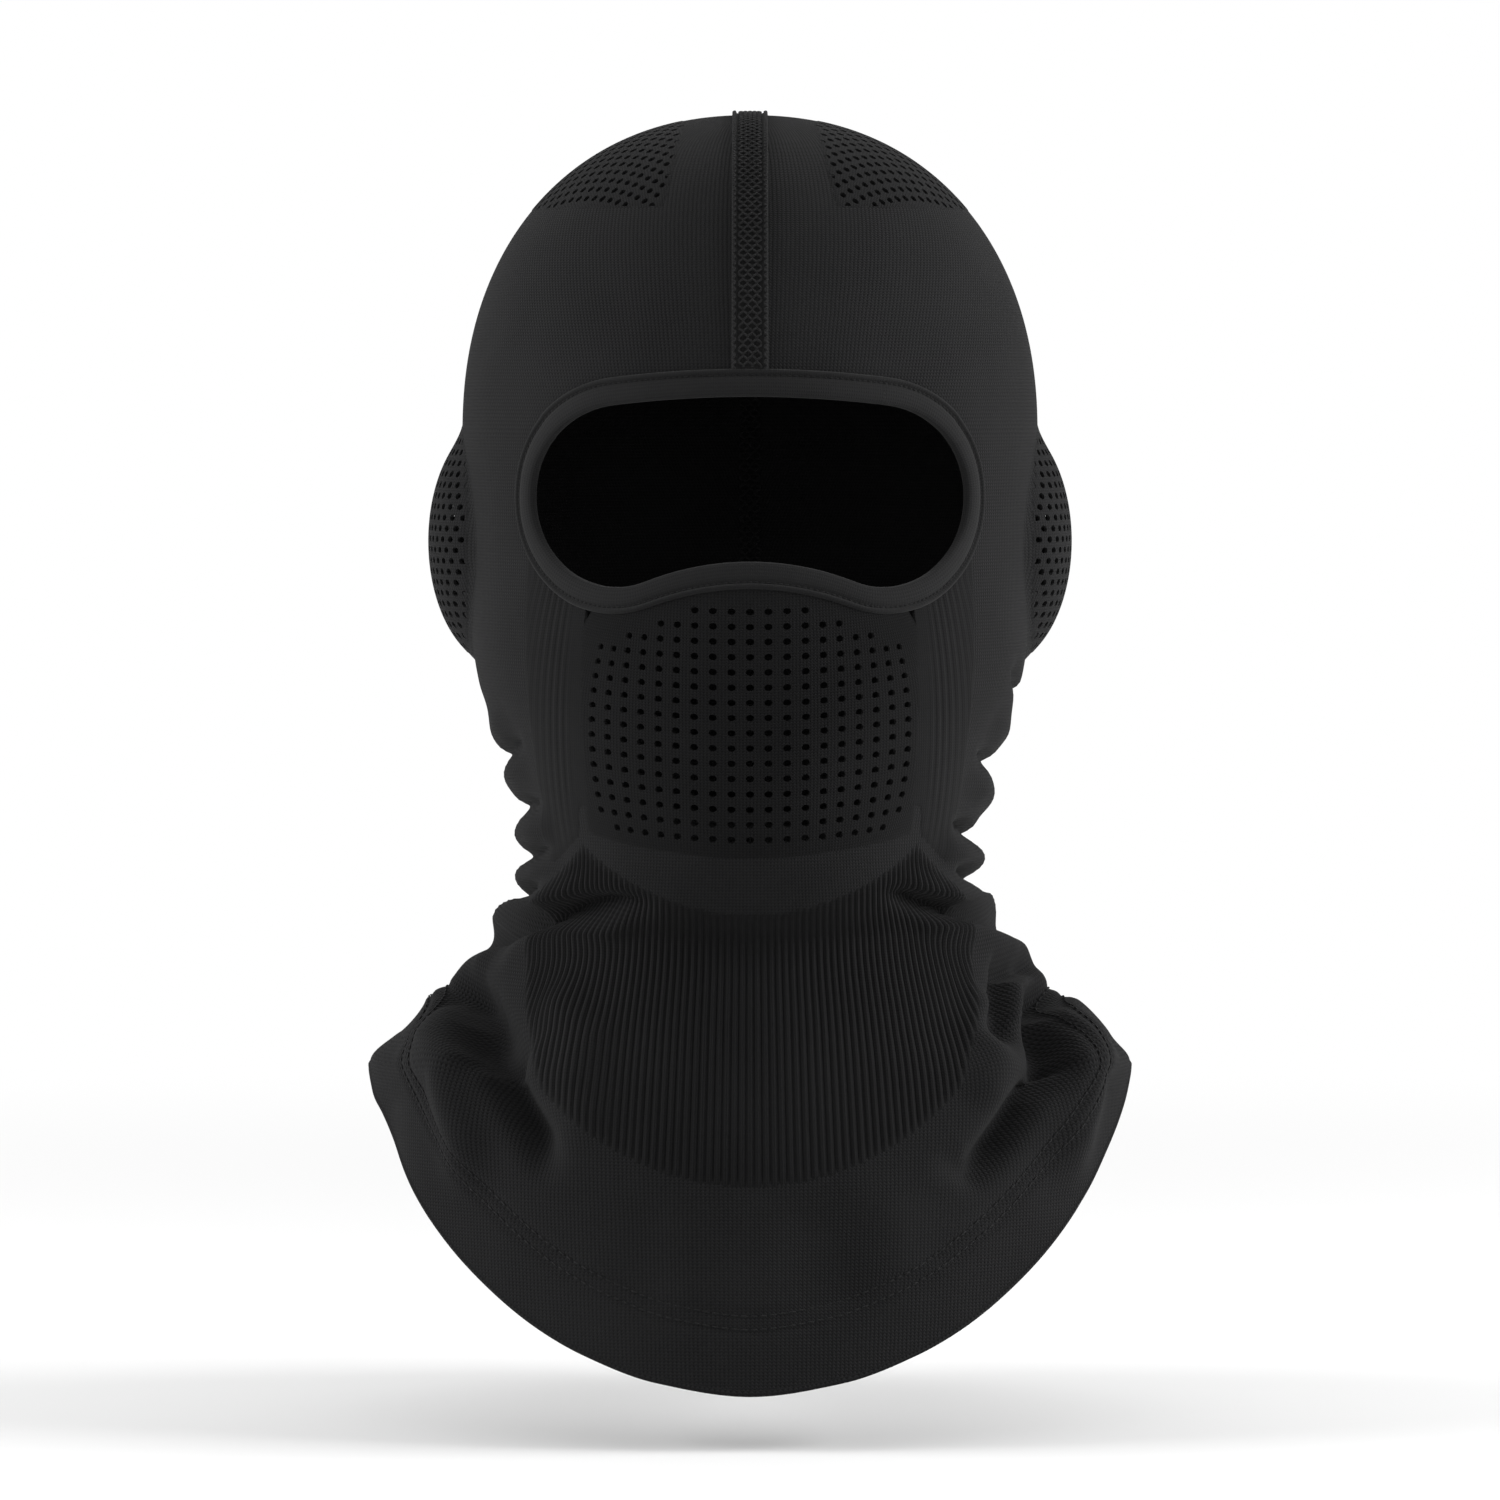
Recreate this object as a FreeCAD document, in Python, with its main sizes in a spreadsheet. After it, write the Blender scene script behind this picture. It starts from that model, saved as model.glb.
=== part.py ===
"""Knitted winter balaclava: a hood with one eye opening, vents, a ribbed throat and a bib.

Frame: the inner top of the crown is the origin, +Z is up, the face looks along -Y
and +X is the wearer's left. All sizes are millimetres.
"""
import FreeCAD, Part
import os
import Sketcher
from FreeCAD import Placement, Rotation, Vector

doc = FreeCAD.newDocument("Balaclava")
dims = doc.addObject("Spreadsheet::Sheet", "Dims")

# ---------------------------------------------------------------- driving dimensions
# Faces of the layers, counted outwards from the outer face of the knit.
LAYERS = {
    "cover_layer": 0.9,
    "outer_layer": 0,
    "inner_layer": -1,
    "facing_layer": -1.9,
    "thread_layer": -2.35,
}

# Crown: half width, reach to the front and back, height, and how square its curve is.
CROWN = {
    "crown_side": 80.4, "crown_front": 96.5, "crown_back": 99, "crown_rise": 89, "crown_power": 2.2,
}
CROWN_STEPS = (0.999, 0.985, 0.94, 0.85, 0.7, 0.5, 0.25)

# Levels of the hood from the brow down: drop below the origin, half width, reach to front and back.
HEAD_LEVELS = {
    "brow": (88, 80.4, 96.5, 99),
    "eye": (105, 80, 98.5, 99),
    "bridge": (122, 79, 100.5, 97),
    "nose": (140, 78, 105, 92.5),
    "lip": (157, 75.5, 104, 86),
    "jaw": (170, 70, 101.5, 80.5),
    "underlip": (187, 65, 97.5, 75),
    "chin": (203, 61.8, 91, 71),
    "gullet": (216, 62.5, 80, 69),
    "throat": (226, 69.6, 70.2, 69),
}
SKIRT_LEVELS = {
    "throat": HEAD_LEVELS["throat"],
    "collar": (240, 79.4, 74, 73),
    "slope": (250, 87.5, 78, 78),
    "yoke": (257, 99.5, 81, 82),
    "shoulder": (263, 106, 83.5, 85),
    "chest": (285, 109, 90, 93),
    "bib": (352, 113, 101, 105),
}

EARS = {
    "ear_side": 69.5, "ear_back": 5, "ear_drop": 118, "ear_bulge": 20.5, "ear_reach": 36, "ear_rise": 35,
}
EYE = {
    "eye_top_drop": 77, "eye_brow_side": 36, "eye_brow_drop": 79.2,
    "eye_temple_side": 53.6, "eye_temple_drop": 88.2, "eye_corner_side": 59.2, "eye_corner_drop": 105,
    "eye_cheek_side": 52.4, "eye_cheek_drop": 121.6, "eye_lobe_side": 31, "eye_lobe_drop": 128,
    "eye_nose_drop": 121.2,
    "binding_wrap": 1, "binding_width": 7.5,
    "eye_row_near": 5.4, "eye_row_far": 6.1, "eye_looper_near": 4.2, "eye_looper_far": 6.8,
}
FACE = {
    "mouth_top_side": 43.5, "mouth_top_drop": 118, "mouth_side": 45.4, "mouth_mid_drop": 165,
    "mouth_low_side": 43.6, "mouth_low_drop": 194, "mouth_base_drop": 199.4,
    "chin_side": 44.6, "chin_top_drop": 190, "chin_low_drop": 199, "chin_base_drop": 216.4,
    "cheek_inner_side": 38, "cheek_top_side": 60, "cheek_top_drop": 118, "cheek_side": 61.5,
    "cheek_mid_drop": 158, "cheek_low_side": 55, "cheek_low_drop": 208,
    "rib_top_side": 44, "rib_top_drop": 197, "rib_side": 62.5, "rib_mid_drop": 240,
    "rib_low_side": 58, "rib_low_drop": 267, "rib_base_drop": 292,
}
CROWN_VENT = {"vent_side": 17, "vent_end_side": 25, "vent_front": 80, "vent_back": 50, "vent_drop": 26.6}
HEM = {
    "kept_side": 140, "kept_top_drop": -60, "hem_corner_side": 106.5, "hem_corner_drop": 264,
    "hem_bend_side": 95.5, "hem_bend_drop": 289, "hem_chest_side": 76, "hem_chest_drop": 315.3,
    "hem_front_drop": 346, "hem_nape_side": 80, "hem_nape_drop": 296, "hem_blade_side": 96,
    "hem_blade_drop": 282, "hem_back_drop": 314,
    "hem_depth": 21, "hem_row_width": 0.7, "hem_row_gap": 3.2,
}
SEAM = {
    "seam_side": 4.9, "seam_row_width": 0.9, "seam_core_side": 2.8, "seam_front_drop": 69.3, "seam_gap": 0.05,
}
TOOLS = {"tool_reach": 150, "tool_height": 20}

GROUPS = (LAYERS, CROWN, EARS, EYE, FACE, CROWN_VENT, HEM, SEAM, TOOLS)


def level_dims():
    """Name the four sizes of every level, ready for the sheet."""
    named = {}
    for level, sizes in {**HEAD_LEVELS, **SKIRT_LEVELS}.items():
        for size, number in zip(("drop", "side", "front", "back"), sizes):
            named[f"level_{level}_{size}"] = number
    return named


def fill_sheet():
    """Write every driving dimension into the sheet as a plain number with an alias."""
    row = 1
    for group in (*GROUPS, level_dims()):
        for alias, number in group.items():
            dims.set(f"A{row}", alias)
            dims.set(f"B{row}", str(number))
            dims.setAlias(f"B{row}", alias)
            row += 1
    doc.recompute()


fill_sheet()


# ---------------------------------------------------------------- helpers
def bind(item, **expressions):
    """Bind properties to sheet expressions; a double underscore stands for a dot."""
    for name, expression in expressions.items():
        item.setExpression(name.replace("__", "."), expression)
    return item


def add(kind, name, **expressions):
    return bind(doc.addObject(kind, name), **expressions)


def cut(name, base, tool):
    result = doc.addObject("Part::Cut", name)
    result.Base = base
    result.Tool = tool
    return result


def common(name, base, tool):
    result = doc.addObject("Part::Common", name)
    result.Base = base
    result.Tool = tool
    return result


def fuse(name, shapes):
    """Join shapes one after the other."""
    result = shapes[0]
    for place, shape in enumerate(shapes[1:], 1):
        joined = doc.addObject("Part::Fuse", f"{name}_{place}" if place < len(shapes) - 1 else name)
        joined.Base = result
        joined.Tool = shape
        result = joined
    return result


# ---------------------------------------------------------------- the hood's form at any layer
def crown_ring(name, step, layer):
    """One ellipse of the crown, at a fraction of its height, on the crown's rounded curve."""
    shrink = f"pow(1 - pow({step}; Dims.crown_power); 1 / Dims.crown_power)"
    ellipse = add("Part::Ellipse", name)
    ellipse.Placement = Placement(Vector(), Rotation(Vector(0, 0, 1), 90))
    return bind(
        ellipse,
        MajorRadius=f"((Dims.crown_front + Dims.crown_back) / 2 + Dims.{layer}) * {shrink}",
        MinorRadius=f"(Dims.crown_side + Dims.{layer}) * {shrink}",
        Placement__Base__y="(Dims.crown_back - Dims.crown_front) / 2",
        Placement__Base__z=f"(Dims.crown_rise + Dims.{layer}) * {step} - Dims.level_brow_drop",
    )


def level_ring(name, level, layer, deep):
    """One ellipse of the hood; deep levels are longer front to back than they are wide."""
    depth = f"(Dims.level_{level}_front + Dims.level_{level}_back) / 2 + Dims.{layer}"
    width = f"Dims.level_{level}_side + Dims.{layer}"
    ellipse = add("Part::Ellipse", name)
    if deep:
        ellipse.Placement = Placement(Vector(), Rotation(Vector(0, 0, 1), 90))
    return bind(
        ellipse,
        MajorRadius=depth if deep else width,
        MinorRadius=width if deep else depth,
        Placement__Base__y=f"(Dims.level_{level}_back - Dims.level_{level}_front) / 2",
        Placement__Base__z=f"-Dims.level_{level}_drop",
    )


def loft(name, rings):
    result = doc.addObject("Part::Loft", name)
    result.Sections = rings
    result.Solid = True
    result.Ruled = True
    return result


def hood_rings(layer):
    """The ellipses of one layer: the head down to the throat, and the skirt below it."""
    head = [crown_ring(f"{layer}_crown_{place}", step, layer) for place, step in enumerate(CROWN_STEPS)]
    head += [level_ring(f"{layer}_{level}", level, layer, True) for level in HEAD_LEVELS]
    skirt = [level_ring(f"{layer}_skirt_{level}", level, layer, False) for level in SKIRT_LEVELS]
    return {"head": head, "skirt": skirt}


rings = {layer: hood_rings(layer) for layer in LAYERS}


# ---------------------------------------------------------------- outlines and the tools cut from them
FRONT_VIEW = Placement(Vector(), Rotation(Vector(1, 0, 0), 90))
TOP_VIEW = Placement()


def spot(side, drop, out=(0, 0), grow="0"):
    """A front-view point: a distance to the side, a drop, and a shift outwards by some amount."""
    across = f"(Dims.{side} + {out[0]} * ({grow}))" if side else "0"
    return (across, f"-(Dims.{drop} + {out[1]} * ({grow}))")


def mirror(point):
    return point and (f"-{point[0]}", point[1])


def both_sides(half, bottom, top):
    """Close the left half of an outline with its mirror image; bottom and top cross the middle."""
    return half + [bottom] + [mirror(point) for point in reversed(half)] + [top]


def pin(sketch, curve, end, point):
    """Hold one sketch point at the two expressions that give its place."""
    for kind, expression in zip(("DistanceX", "DistanceY"), point):
        number = float(dims.evalExpression(expression))
        index = sketch.addConstraint(Sketcher.Constraint(kind, -1, 1, curve, end, number))
        sketch.renameConstraint(index, f"{kind}_{index}")
        sketch.setExpression(f"Constraints.{kind}_{index}", expression)


def outline(name, view, steps):
    """Closed sketch from corners and waypoints in turn: an arc passes a waypoint, None is a straight line."""
    sketch = doc.addObject("Sketcher::SketchObject", name)
    sketch.Placement = view
    corners = steps[::2]
    waypoints = steps[1::2]
    for place, (corner, waypoint) in enumerate(zip(corners, waypoints)):
        following = corners[(place + 1) % len(corners)]
        start, end = (
            Vector(*(float(dims.evalExpression(part)) for part in point)) for point in (corner, following)
        )
        if waypoint is None:
            curve = sketch.addGeometry(Part.LineSegment(start, end))
            pin(sketch, curve, 1, corner)
            pin(sketch, curve, 2, following)
            continue
        middle = Vector(*(float(dims.evalExpression(part)) for part in waypoint))
        leftward = (end - start).cross(middle - start).z < 0
        curve = sketch.addGeometry(Part.Arc(start, middle, end) if leftward else Part.Arc(end, middle, start))
        pin(sketch, curve, 1, corner if leftward else following)
        pin(sketch, curve, 2, following if leftward else corner)
        mark = sketch.addGeometry(Part.Point(middle), True)
        sketch.addConstraint(Sketcher.Constraint("PointOnObject", mark, 1, curve))
        pin(sketch, mark, 1, waypoint)
    return sketch


def prism(name, base, direction, length="Dims.tool_reach"):
    """A solid tool: an outline pushed along one direction."""
    result = doc.addObject("Part::Extrusion", name)
    result.Base = base
    result.DirMode = "Custom"
    result.Dir = direction
    result.Solid = True
    return bind(result, LengthFwd=length)


FORWARD = Vector(0, -1, 0)
BACKWARD = Vector(0, 1, 0)
UPWARD = Vector(0, 0, 1)


def eye_tool(name, grow):
    """A forward tool as large as the eye opening, grown all round by an expression."""
    steps = both_sides(
        [
            spot("eye_brow_side", "eye_brow_drop", (0.1, -1), grow),
            spot("eye_temple_side", "eye_temple_drop", (0.72, -0.69), grow),
            spot("eye_corner_side", "eye_corner_drop", (1, 0), grow),
            spot("eye_cheek_side", "eye_cheek_drop", (0.75, 0.66), grow),
            spot("eye_lobe_side", "eye_lobe_drop", (0, 1), grow),
        ],
        spot(None, "eye_nose_drop", (0, 1), grow),
        spot(None, "eye_top_drop", (0, -1), grow),
    )
    return prism(name, outline(f"{name}_outline", FRONT_VIEW, steps), FORWARD)


opening = eye_tool("opening", "0")
knit_opening = eye_tool("knit_opening", "Dims.binding_wrap")
binding_reach = eye_tool("binding_reach", "Dims.binding_width")


def ring_tool(name, near, far):
    """A forward tool that follows the eye opening between two distances from its edge."""
    return cut(name, eye_tool(f"{name}_far", f"Dims.{far}"), eye_tool(f"{name}_near", f"Dims.{near}"))


mouth_tool = prism("mouth_tool", outline("mouth_outline", FRONT_VIEW, both_sides(
    [
        spot("mouth_top_side", "mouth_top_drop"),
        spot("mouth_side", "mouth_mid_drop"),
        spot("mouth_low_side", "mouth_low_drop"),
    ],
    spot(None, "mouth_base_drop"),
    None,
)), FORWARD)
chin_tool = prism("chin_tool", outline("chin_outline", FRONT_VIEW, both_sides(
    [spot("chin_side", "chin_top_drop"), None, spot("chin_side", "chin_low_drop")],
    spot(None, "chin_base_drop"),
    None,
)), FORWARD)
rib_tool = prism("rib_tool", outline("rib_outline", FRONT_VIEW, both_sides(
    [
        spot("rib_top_side", "rib_top_drop"),
        spot("rib_side", "rib_mid_drop"),
        spot("rib_low_side", "rib_low_drop"),
    ],
    spot(None, "rib_base_drop"),
    None,
)), FORWARD)


def cheek_tool(side, flip):
    """The finely ribbed strip of one cheek, between the mouth vent and the plain knit."""
    steps = [
        spot("cheek_inner_side", "cheek_top_drop"), None,
        spot("cheek_top_side", "cheek_top_drop"), spot("cheek_side", "cheek_mid_drop"),
        spot("cheek_low_side", "cheek_low_drop"), None,
        spot("cheek_inner_side", "cheek_low_drop"), None,
    ]
    if flip:
        steps = [mirror(point) for point in steps]
    return prism(f"cheek_tool_{side}", outline(f"cheek_outline_{side}", FRONT_VIEW, steps), FORWARD)


def crown_vent_tool(side, flip):
    """Seen from above, a crown vent is a D whose straight side runs beside the seam."""
    steps = [
        ("Dims.vent_end_side", "-Dims.vent_front"), ("Dims.vent_side", "0"),
        ("Dims.vent_end_side", "Dims.vent_back"), None,
        ("Dims.tool_reach", "Dims.vent_back"), None,
        ("Dims.tool_reach", "-Dims.vent_front"), None,
    ]
    if flip:
        steps = [mirror(point) for point in steps]
    sketch = outline(f"crown_vent_outline_{side}", TOP_VIEW, steps)
    bind(sketch, Placement__Base__z="-Dims.vent_drop")
    return prism(f"crown_vent_tool_{side}", sketch, UPWARD)


def ear_form(name, sign, layer):
    """The solid inside one layer of an ear's bulge."""
    return add(
        "Part::Ellipsoid", name,
        Radius1=f"Dims.ear_rise + Dims.{layer}",
        Radius2=f"Dims.ear_bulge + Dims.{layer}",
        Radius3=f"Dims.ear_reach + Dims.{layer}",
        Placement__Base__x=f"{sign}Dims.ear_side",
        Placement__Base__y="Dims.ear_back",
        Placement__Base__z="-Dims.ear_drop",
    )


def box(name, low_side, high_side, front, back, low, high):
    """A block between six expressions."""
    return add(
        "Part::Box", name,
        Length=f"{high_side} - ({low_side})", Width=f"{back} - ({front})", Height=f"{high} - ({low})",
        Placement__Base__x=low_side, Placement__Base__y=front, Placement__Base__z=low,
    )


# What lies above the hem: the front hangs in a deep bib, the back in a shallow one.
HEM_HALVES = {
    "front": (("hem_bend", (-0.87, -0.5)), ("hem_chest", (-0.62, -0.78)), "hem_front_drop", FORWARD),
    "back": (("hem_blade", (-0.7, -0.7)), ("hem_nape", (-0.42, -0.9)), "hem_back_drop", BACKWARD),
}


def above_hem(name, half, inset):
    """Everything in one half above a line that runs at one distance inside the hem."""
    bend, foot, base, direction = HEM_HALVES[half]
    steps = both_sides(
        [
            spot("kept_side", "kept_top_drop"), None,
            spot("kept_side", "hem_corner_drop", (0, -0.6), inset), None,
            spot("hem_corner_side", "hem_corner_drop", (-0.85, -0.6), inset),
            spot(f"{bend[0]}_side", f"{bend[0]}_drop", bend[1], inset),
            spot(f"{foot[0]}_side", f"{foot[0]}_drop", foot[1], inset),
        ],
        spot(None, base, (0, -1), inset),
        None,
    )
    return prism(name, outline(f"{name}_line", FRONT_VIEW, steps), direction)


def between(name, stretch, outside, inside, tool):
    """Material between two layers of the head or the skirt that lies inside a tool."""
    outer = loft(f"{name}_outside", rings[outside][stretch])
    inner = loft(f"{name}_inside", rings[inside][stretch])
    return cut(name, common(f"{name}_blank", outer, tool), inner)


# ---------------------------------------------------------------- the knitted tube and its zones
REACH = "Dims.tool_reach"
THROAT = "-Dims.level_throat_drop"
pieces = []
claimed = []


def keep(piece, label):
    """Name a finished sub-part; its label becomes its file's name."""
    piece.Label = label
    pieces.append(piece)
    return piece


def zone(name, tool, opens=True):
    """One zone of the hood: the knit inside a tool that no earlier zone has taken."""
    piece = between(f"{name}_knit", "head", "outer_layer", "inner_layer", tool)
    if opens:
        piece = cut(f"{name}_open", piece, knit_opening)
    if claimed:
        piece = cut(f"{name}_rest", piece, claimed[-1])
    claimed.append(fuse(f"{name}_and_earlier", [claimed[-1], tool]) if claimed else tool)
    return piece


def ear_cup(side, sign):
    """The ear vent: a knitted cup that bulges out of an oval gap in the side of the hood."""
    tool = ear_form(f"ear_tool_{side}", sign, "outer_layer")
    outer = ear_form(f"ear_outer_{side}", sign, "outer_layer")
    cup = cut(f"ear_cup_{side}", outer, ear_form(f"ear_inner_{side}", sign, "inner_layer"))
    claimed.append(fuse(f"ear_{side}_and_earlier", [claimed[-1], tool]))
    return cut(f"ear_cup_open_{side}", cup, loft(f"ear_cup_hollow_{side}", rings["inner_layer"]["head"]))


keep(zone("mouth", mouth_tool), "mouth_vent")
keep(zone("chin", chin_tool, opens=False), "chin_panel")
above = fuse("above_hem", [above_hem(f"above_hem_{half}", half, "0") for half in HEM_HALVES])
knit_skirt = between("knit_skirt", "skirt", "outer_layer", "inner_layer", above)
throat_rib = doc.addObject("Part::Compound", "throat_rib")
throat_rib.Links = [
    zone("throat_rib_upper", rib_tool, opens=False),
    between("throat_rib_lower", "skirt", "outer_layer", "inner_layer", rib_tool),
]
keep(throat_rib, "throat_rib_panel")
for side, sign in (("left", ""), ("right", "-")):
    keep(zone(f"cheek_{side}", cheek_tool(side, bool(sign))), f"cheek_rib_{side}")
    keep(ear_cup(side, sign), f"ear_vent_{side}")
    keep(zone(f"crown_vent_zone_{side}", crown_vent_tool(side, bool(sign)), opens=False), f"crown_vent_{side}")
everything = claimed[-1]
SIDES = {"left": ("Dims.seam_gap", REACH), "right": (f"-{REACH}", "-Dims.seam_gap")}
for side, (low_side, high_side) in SIDES.items():
    block = box(
        f"block_{side}", low_side, high_side, f"-{REACH}", REACH, "-2 * Dims.tool_reach", "Dims.tool_height",
    )
    plain = between(f"plain_{side}", "head", "outer_layer", "inner_layer", block)
    plain = cut(f"plain_{side}_open", plain, knit_opening)
    keep(cut(f"plain_{side}_rest", plain, everything), f"hood_{side}_half")
keep(cut("skirt_beside_ribs", knit_skirt, rib_tool), "neck_skirt")


def hem_strip(name, outside, inside, near, far):
    """Material between two layers of the skirt, in a band along the hem from near to far of its edge."""
    halves = []
    for half in HEM_HALVES:
        lower = above_hem(f"{name}_near_{half}", half, near)
        upper = above_hem(f"{name}_far_{half}", half, far)
        band = cut(f"{name}_band_{half}", lower, upper)
        halves.append(between(f"{name}_{half}", "skirt", outside, inside, band))
    result = doc.addObject("Part::Compound", name)
    result.Links = halves
    return result


keep(hem_strip("facing", "inner_layer", "facing_layer", "0", "Dims.hem_depth"), "hem_facing")

# ---------------------------------------------------------------- the binding of the eye opening
# A strip folded round the cut edge: one leaf outside, one inside and the fold between them.
outside_leaf = between(
    "outside_leaf", "head", "cover_layer", "outer_layer", ring_tool("leaf_ring", "binding_wrap", "binding_width"),
)
inside_leaf = between(
    "inside_leaf", "head", "inner_layer", "facing_layer", ring_tool("inner_leaf_ring", "binding_wrap", "binding_width"),
)
fold = between("binding_fold", "head", "cover_layer", "facing_layer", cut("fold_ring", knit_opening, opening))
eye_row_ring = ring_tool("eye_row_ring", "eye_row_near", "eye_row_far")
keep(fuse("binding", [cut("outside_leaf_open", outside_leaf, eye_row_ring), fold, inside_leaf]), "eye_binding")
keep(between("eye_row", "head", "cover_layer", "outer_layer", eye_row_ring), "eye_binding_stitch_row")
keep(between(
    "eye_looper", "head", "facing_layer", "thread_layer",
    ring_tool("eye_looper_ring", "eye_looper_near", "eye_looper_far"),
), "eye_binding_looper_thread")


# ---------------------------------------------------------------- the crown seam
def seam_strip(name, inner, outer):
    """A strip beside the middle, over the forehead and crown and down the back to the nape."""
    return fuse(name, [
        box(f"{name}_front", inner, outer, f"-{REACH}", "0", "-Dims.seam_front_drop", "Dims.tool_height"),
        box(f"{name}_back", inner, outer, "0", REACH, THROAT, "Dims.tool_height"),
    ])


ROW = "(Dims.seam_side - Dims.seam_row_width)"
CORE = "Dims.seam_core_side"
keep(between("seam_band", "head", "cover_layer", "outer_layer", fuse("seam_band_strips", [
    seam_strip("seam_band_left", CORE, ROW),
    seam_strip("seam_band_right", f"-{ROW}", f"-{CORE}"),
])), "crown_seam_band")
keep(between("seam_cover", "head", "cover_layer", "outer_layer", fuse("seam_cover_strips", [
    seam_strip("seam_row_left", ROW, "Dims.seam_side"),
    seam_strip("seam_row_middle", f"-{CORE}", CORE),
    seam_strip("seam_row_right", "-Dims.seam_side", f"-{ROW}"),
])), "crown_seam_cover_thread")
keep(between(
    "seam_looper", "head", "inner_layer", "facing_layer", seam_strip("seam_looper_strip", f"-{CORE}", CORE),
), "crown_seam_looper_thread")

# ---------------------------------------------------------------- the hem's threads
UPPER_ROW = "Dims.hem_depth - Dims.hem_row_width"
LOWER_ROW = f"{UPPER_ROW} - Dims.hem_row_gap"
for name, near in (("hem_stitch_upper", UPPER_ROW), ("hem_stitch_lower", LOWER_ROW)):
    keep(hem_strip(f"{name}_row", "cover_layer", "outer_layer", near, f"{near} + Dims.hem_row_width"), name)
keep(hem_strip("hem_looper", "facing_layer", "thread_layer", LOWER_ROW, "Dims.hem_depth"), "hem_looper_thread")

# ---------------------------------------------------------------- check and write
doc.recompute()
faults = [item.Name for item in doc.Objects if {"Invalid", "Error"} & set(item.State)]
if faults:
    raise RuntimeError(f"objects that did not compute: {faults}")
os.makedirs("parts", exist_ok=True)
for piece in pieces:
    shape = piece.Shape
    if shape.isNull() or not shape.isValid() or not shape.Solids:
        raise RuntimeError(f"{piece.Label} has no sound shape")
    shape.exportStep(f"parts/{piece.Label}.step")
    area_cm2 = shape.Area / 100
    print(f"{piece.Label}: {len(shape.Solids)} solids, {shape.Volume / 1000:.2f} cm3, {area_cm2:.0f} cm2")
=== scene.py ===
# %% [markdown]
# # A knitted winter balaclava
#
# The real thing is one tube of thin, near-black jersey, knitted in zones: plain knit,
# eyelet vents over the mouth, ears and crown, and ribs at the throat. It is sewn in three
# places only: a seam over the crown, a binding round the eye opening and a hem.
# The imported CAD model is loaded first, because it fixes where everything is.

# %% Load the fixed frame
import math

import bpy
import numpy as np
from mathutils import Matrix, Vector


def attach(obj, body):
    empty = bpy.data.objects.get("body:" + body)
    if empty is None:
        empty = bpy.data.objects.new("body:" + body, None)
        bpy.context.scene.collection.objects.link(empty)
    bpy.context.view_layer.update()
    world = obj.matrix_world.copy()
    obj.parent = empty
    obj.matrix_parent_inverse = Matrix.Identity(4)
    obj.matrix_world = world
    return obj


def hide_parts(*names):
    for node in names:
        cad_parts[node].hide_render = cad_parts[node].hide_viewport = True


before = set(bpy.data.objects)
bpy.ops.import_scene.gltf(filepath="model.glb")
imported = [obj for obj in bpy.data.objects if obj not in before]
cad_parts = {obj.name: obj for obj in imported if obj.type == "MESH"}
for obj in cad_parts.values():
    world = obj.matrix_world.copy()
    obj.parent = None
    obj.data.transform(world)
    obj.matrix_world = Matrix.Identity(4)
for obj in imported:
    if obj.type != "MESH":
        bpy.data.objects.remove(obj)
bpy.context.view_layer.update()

MM = 0.001

# %% [markdown]
# ## The form under the cloth
#
# Everything lies on one closed form, so one rule describes it and every zone borrows it.
# The form could be sculpted, but a rule keeps the parts joined exactly. It is a stack of
# ellipses: half width, reach to the front and reach to the back at each drop below the
# crown. A curve that never swings past its points joins the levels.

# %% The stack of ellipses
BROW_DROP = 88.0
CROWN_RISE = 89.0
CROWN_POWER = 2.2
CROWN_LENGTH = 150.0
LEVELS = np.array([
    (88, 80.4, 96.5, 99), (105, 80, 98.5, 99), (122, 79, 100.5, 97), (140, 78, 105, 92.5),
    (157, 75.5, 104, 86), (170, 70, 101.5, 80.5), (187, 65, 97.5, 75), (203, 61.8, 91, 71),
    (216, 62.5, 80, 69), (226, 69.6, 70.2, 69), (240, 79.4, 74, 73), (250, 87.5, 78, 78),
    (257, 99.5, 81, 82), (263, 106, 83.5, 85), (285, 109, 90, 93), (352, 113, 101, 105),
], float)


def easy_curve(knots, values):
    """A smooth curve through points that stays between neighbouring points."""
    knots, values = np.asarray(knots, float), np.asarray(values, float)
    gap = np.diff(knots)
    slope = np.diff(values) / gap
    tangent = np.concatenate([slope[:1], np.zeros(len(knots) - 2), slope[-1:]])
    same = slope[:-1] * slope[1:] > 0
    near, far = 2 * gap[1:] + gap[:-1], gap[1:] + 2 * gap[:-1]
    safe = np.where(same, slope[:-1], 1), np.where(same, slope[1:], 1)
    tangent[1:-1] = np.where(same, (near + far) / (near / safe[0] + far / safe[1]), 0)

    def curve(at):
        at = np.asarray(at, float)
        cell = np.clip(np.searchsorted(knots, at) - 1, 0, len(gap) - 1)
        u = (at - knots[cell]) / gap[cell]
        return (
            values[cell] * (1 + 2 * u) * (1 - u) ** 2
            + values[cell + 1] * u * u * (3 - 2 * u)
            + gap[cell] * (tangent[cell] * u * (1 - u) ** 2 - tangent[cell + 1] * u * u * (1 - u))
        )

    return curve


side_at, front_at, back_at = (easy_curve(LEVELS[:, 0], LEVELS[:, k]) for k in (1, 2, 3))

# %% [markdown]
# ## Finding a place on the form
#
# A place is a turn round the head (0 at the face, positive to the wearer's left) and a
# way down the cloth. The way runs from -150 at the crown's top to 0 at the brow, and
# from there it is simply the drop. The ears are bulges blended into the sides.

# %% Turn and way
EAR_SIDE, EAR_BACK, EAR_DROP = 69.5, 5.0, 118.0
EAR_BULGE, EAR_REACH, EAR_RISE = 20.5, 36.0, 35.0
EAR_BLEND = 4.0


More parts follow.
